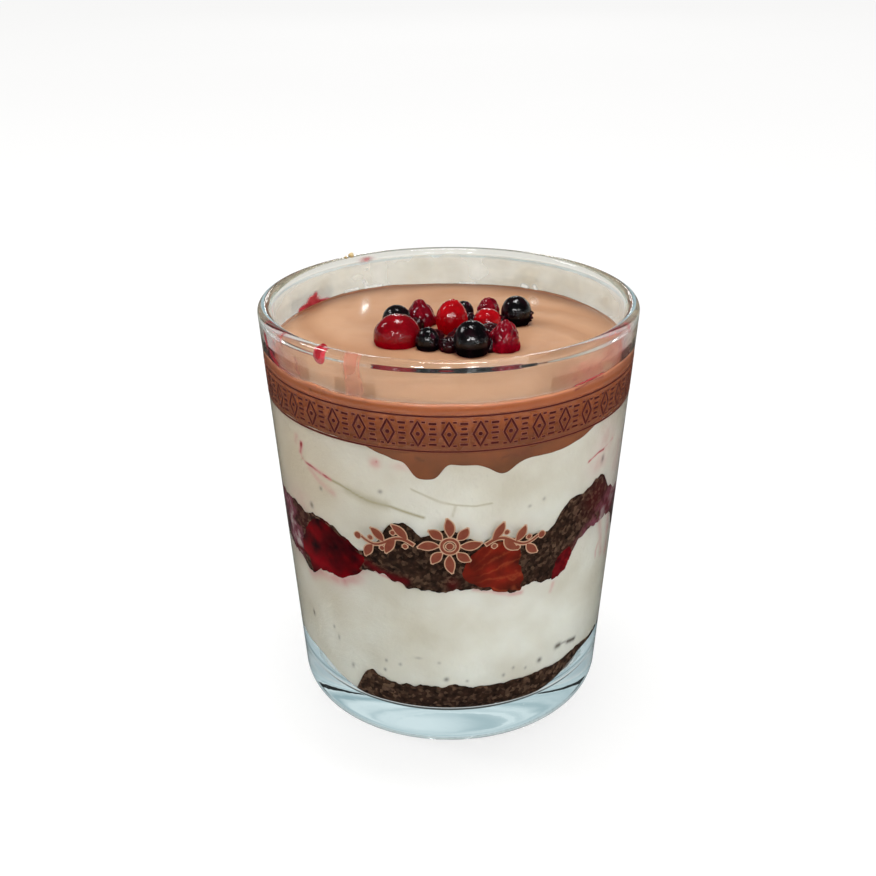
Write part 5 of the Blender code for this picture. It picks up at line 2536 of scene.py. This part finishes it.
    def crumbs(self, bench: Bench) -> None:
        """A few crumbs on the rim: small lumps pushed by noise.

        Args:
            bench: where pieces are made and dressed.
        """
        ways = all_ways(14, 24)
        shells = []
        for azimuth, radius, height, size in self.rim_crumbs:
            lumpy = ways * (0.8 + 0.4 * Grain(71).smooth(ways * 3.0 + azimuth, 1.4))[..., None]
            rings = lumpy * size * np.array([0.95, 0.95, 0.8])
            shells.append(self.lump(rings, from_cylinder(azimuth, radius, height), 0.62 * size))
        shell = Shell.joined(shells)
        none = np.zeros(len(shell.points))
        marks = {"raised": none + 1.0, "juice": none, "smear": none}
        finish = DarkCake("golden_crumb", paint(206, 176, 122), paint(232, 208, 156), paint(246, 230, 190))
        bench.place("rim_crumbs", shell, finish, "dark_cake", marks=marks)

    def pulp(self, bench: Bench) -> None:
        """Dark wet pulp that fills the gaps between the berries' feet; it also paints the shade there.

        Args:
            bench: where pieces are made and dressed.
        """
        ways = all_ways(48, 72)
        shells = []
        for middle, half in self.pulp_lumps:
            lumpy = ways * (1.0 + 0.16 * Grain(73).layered(ways * 3.0 + middle[0], 1.8))[..., None]
            shells.append(self.lump(lumpy * np.array(half), np.array(middle), half[2]))
        shell = Shell.joined(shells)
        fold = np.clip(0.5 + 0.6 * Grain(75).layered(shell.points, 1.5), 0.0, 1.0)
        # Partly painted shade: the dark pulp also fills in the shade between the berries.
        finish = BerrySkin("wet_pulp_and_shade", paint(84, 4, 18), paint(14, 3, 8), paint(8, 3, 6), 0.0, 0.2)
        low = 1.0 - smoothstep(87.8, 89.4, shell.points[:, 2])
        bench.place("pulp_and_gap_shade", shell, finish, "dark_berry", marks={"fold": fold, "low": low})

    def build(self, bench: Bench) -> None:
        """Build every smear, the drop, the crumbs and the pulp.

        Args:
            bench: where pieces are made and dressed.
        """
        for film in self.films():
            film.build(bench)
        self.drop(bench)
        self.crumbs(bench)
        self.pulp(bench)


class Shown(Enum):
    """What takes a lamp's light: (glossy surfaces, matte surfaces)."""

    EVERYWHERE = (True, True)
    IN_GLOSS = (True, False)
    ON_MATTE = (False, True)


@dataclass(frozen=True)
class Lamp:
    """A soft rectangular lamp: its place, width and height in metres, and its watts."""

    name: str
    place: Point
    size: Place
    watts: float
    shown: Shown = Shown.EVERYWHERE

    def build(self, aim_at: Point) -> None:
        """Set the lamp up, turned towards a point.

        Args:
            aim_at: the point that it looks at.
        """
        light = bpy.data.lights.new(self.name, "AREA")
        light.shape = "RECTANGLE"
        light.size, light.size_y = self.size
        light.energy = self.watts
        lamp = bpy.data.objects.new(self.name, light)
        lamp.visible_glossy, lamp.visible_diffuse = self.shown.value
        bpy.context.scene.collection.objects.link(lamp)
        lamp.location = self.place
        aim = np.array(aim_at) - np.array(self.place)
        flat = math.hypot(aim[0], aim[1])
        lamp.rotation_euler = (math.atan2(flat, -aim[2]), 0.0, math.atan2(-aim[0], aim[1]))


LAMPS = (
    Lamp("lamp_over", (0.02, 0.06, 1.0), (0.32, 0.09), 2.9),
    Lamp("lamp_left", (-0.55, 0.15, 0.6), (0.12, 0.20), 1.0),
    Lamp("lamp_back_left", (-0.15, 1.9, 0.72), (0.06, 0.25), 0.6),
    Lamp("lamp_back_right", (0.16, 1.9, 0.72), (0.06, 0.25), 0.6),
    Lamp("lamp_glint_left", (-0.24, -0.76, 0.44), (0.09, 0.06), 1.6, Shown.IN_GLOSS),
    Lamp("lamp_glint", (-0.02, -0.8, 0.46), (0.08, 0.06), 1.4, Shown.IN_GLOSS),
    Lamp("lamp_glint_right", (0.19, -0.78, 0.44), (0.09, 0.06), 1.4, Shown.IN_GLOSS),
    Lamp("lamp_fill", (0.5, -0.9, 0.35), (0.7, 0.5), 2.35, Shown.ON_MATTE),
)


@dataclass
class Studio:
    """The floor, the light and the camera."""

    camera_place: Point = (0.0, -248.1, 175.6)
    pitch: float = 24.6
    roll: float = -0.28
    lens: float = 47.45
    shift: float = -0.0128
    floor_half: float = 4.0
    lamps_aim: Point = (0.0, 0.0, 0.06)
    level_sky: Colour = (0.40, 0.39, 0.38)
    upper_sky: Colour = (0.70, 0.69, 0.67)
    mirrored_sky: Colour = (0.04, 0.04, 0.04)
    cool_band: Colour = (0.47, 0.58, 0.60)
    pale_band: Colour = (0.87, 0.93, 0.93)

    def floor(self, effects: Effects) -> None:
        """A large flat floor.

        Args:
            effects: the shared groups.
        """
        sides = ((-1, -1), (1, -1), (1, 1), (-1, 1))
        corners = [(self.floor_half * x, self.floor_half * y, 0.0) for x, y in sides]
        mesh = bpy.data.meshes.new("floor")
        mesh.from_pydata(corners, [], [(0, 1, 2, 3)])
        mesh.materials.append(PaleFloor("pale_floor").material(effects))
        floor = bpy.data.objects.new("floor", mesh)
        bpy.context.scene.collection.objects.link(floor)

    def sky(self) -> None:
        """A soft surround: bright overhead, dim in a gloss, and white to the eye.

        Through glass it has soft level bands.
        """
        world = bpy.data.worlds.new("surround")
        world.use_nodes = True
        tree = Tree(world.node_tree)
        around = tree.add("TexCoord").outputs["Generated"]
        up = tree.add("SeparateXYZ", Vector=around).outputs["Z"]
        seen = tree.mix(tree.span(up, 0.0, 0.85), self.level_sky, self.upper_sky)
        path = tree.add("LightPath").outputs
        seen = tree.mix(path["Is Glossy Ray"], seen, self.mirrored_sky)
        level = tree.add("Mapping", Vector=around, Scale=(2.0, 2.0, 16.0))
        drift = tree.add("TexNoise", Vector=level.outputs[0], Scale=1.0, Detail=2.0)
        cloud = tree.span(drift.outputs["Fac"], 0.38, 0.62)
        clear = tree.mix(cloud, self.cool_band, self.pale_band)
        seen = tree.mix(path["Is Transmission Ray"], seen, clear)
        seen = tree.mix(path["Is Camera Ray"], seen, (1.0, 1.0, 1.0))
        back = tree.add("Background", Color=seen, Strength=1.0)
        tree.feed(tree.add("OutputWorld").inputs["Surface"], back.outputs[0])
        bpy.context.scene.world = world

    def camera(self) -> None:
        """The camera at the photograph's place, looking down at it."""
        data = bpy.data.cameras.new("camera")
        data.lens = self.lens
        data.sensor_width = 36.0
        data.shift_x = self.shift
        data.clip_start = 0.005
        camera = bpy.data.objects.new("camera", data)
        camera.location = [value * MM for value in self.camera_place]
        tilt = Matrix.Rotation(math.radians(90.0 - self.pitch), 3, "X")
        camera.rotation_euler = (tilt @ Matrix.Rotation(math.radians(self.roll), 3, "Z")).to_euler()
        bpy.context.scene.collection.objects.link(camera)
        bpy.context.scene.camera = camera

    def build(self, effects: Effects) -> None:
        """Set up the floor, the surround, the lamps and the camera.

        Args:
            effects: the shared groups.
        """
        self.floor(effects)
        self.sky()
        for lamp in LAMPS:
            lamp.build(self.lamps_aim)
        self.camera()
        bpy.context.scene.view_settings.view_transform = "Standard"


def main() -> None:
    """Load the frame and build every sub-assembly over it."""
    logging.basicConfig(level=logging.INFO, format="%(name)s: %(message)s")
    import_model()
    effects = Effects()
    bench = Bench(effects)
    Studio().build(effects)
    TUMBLER.build(bench)
    Cakes().build(bench)
    Creams().build(bench)
    SetInFruit().build(bench)
    Chocolate().build(bench)
    for berry in BERRIES:
        berry.build(bench)
    Prints().build(bench)
    Smears().build(bench)
    bpy.context.view_layer.update()
    LOG.info("%d pieces", len(bench.made))


if __name__ == "__main__":
    main()
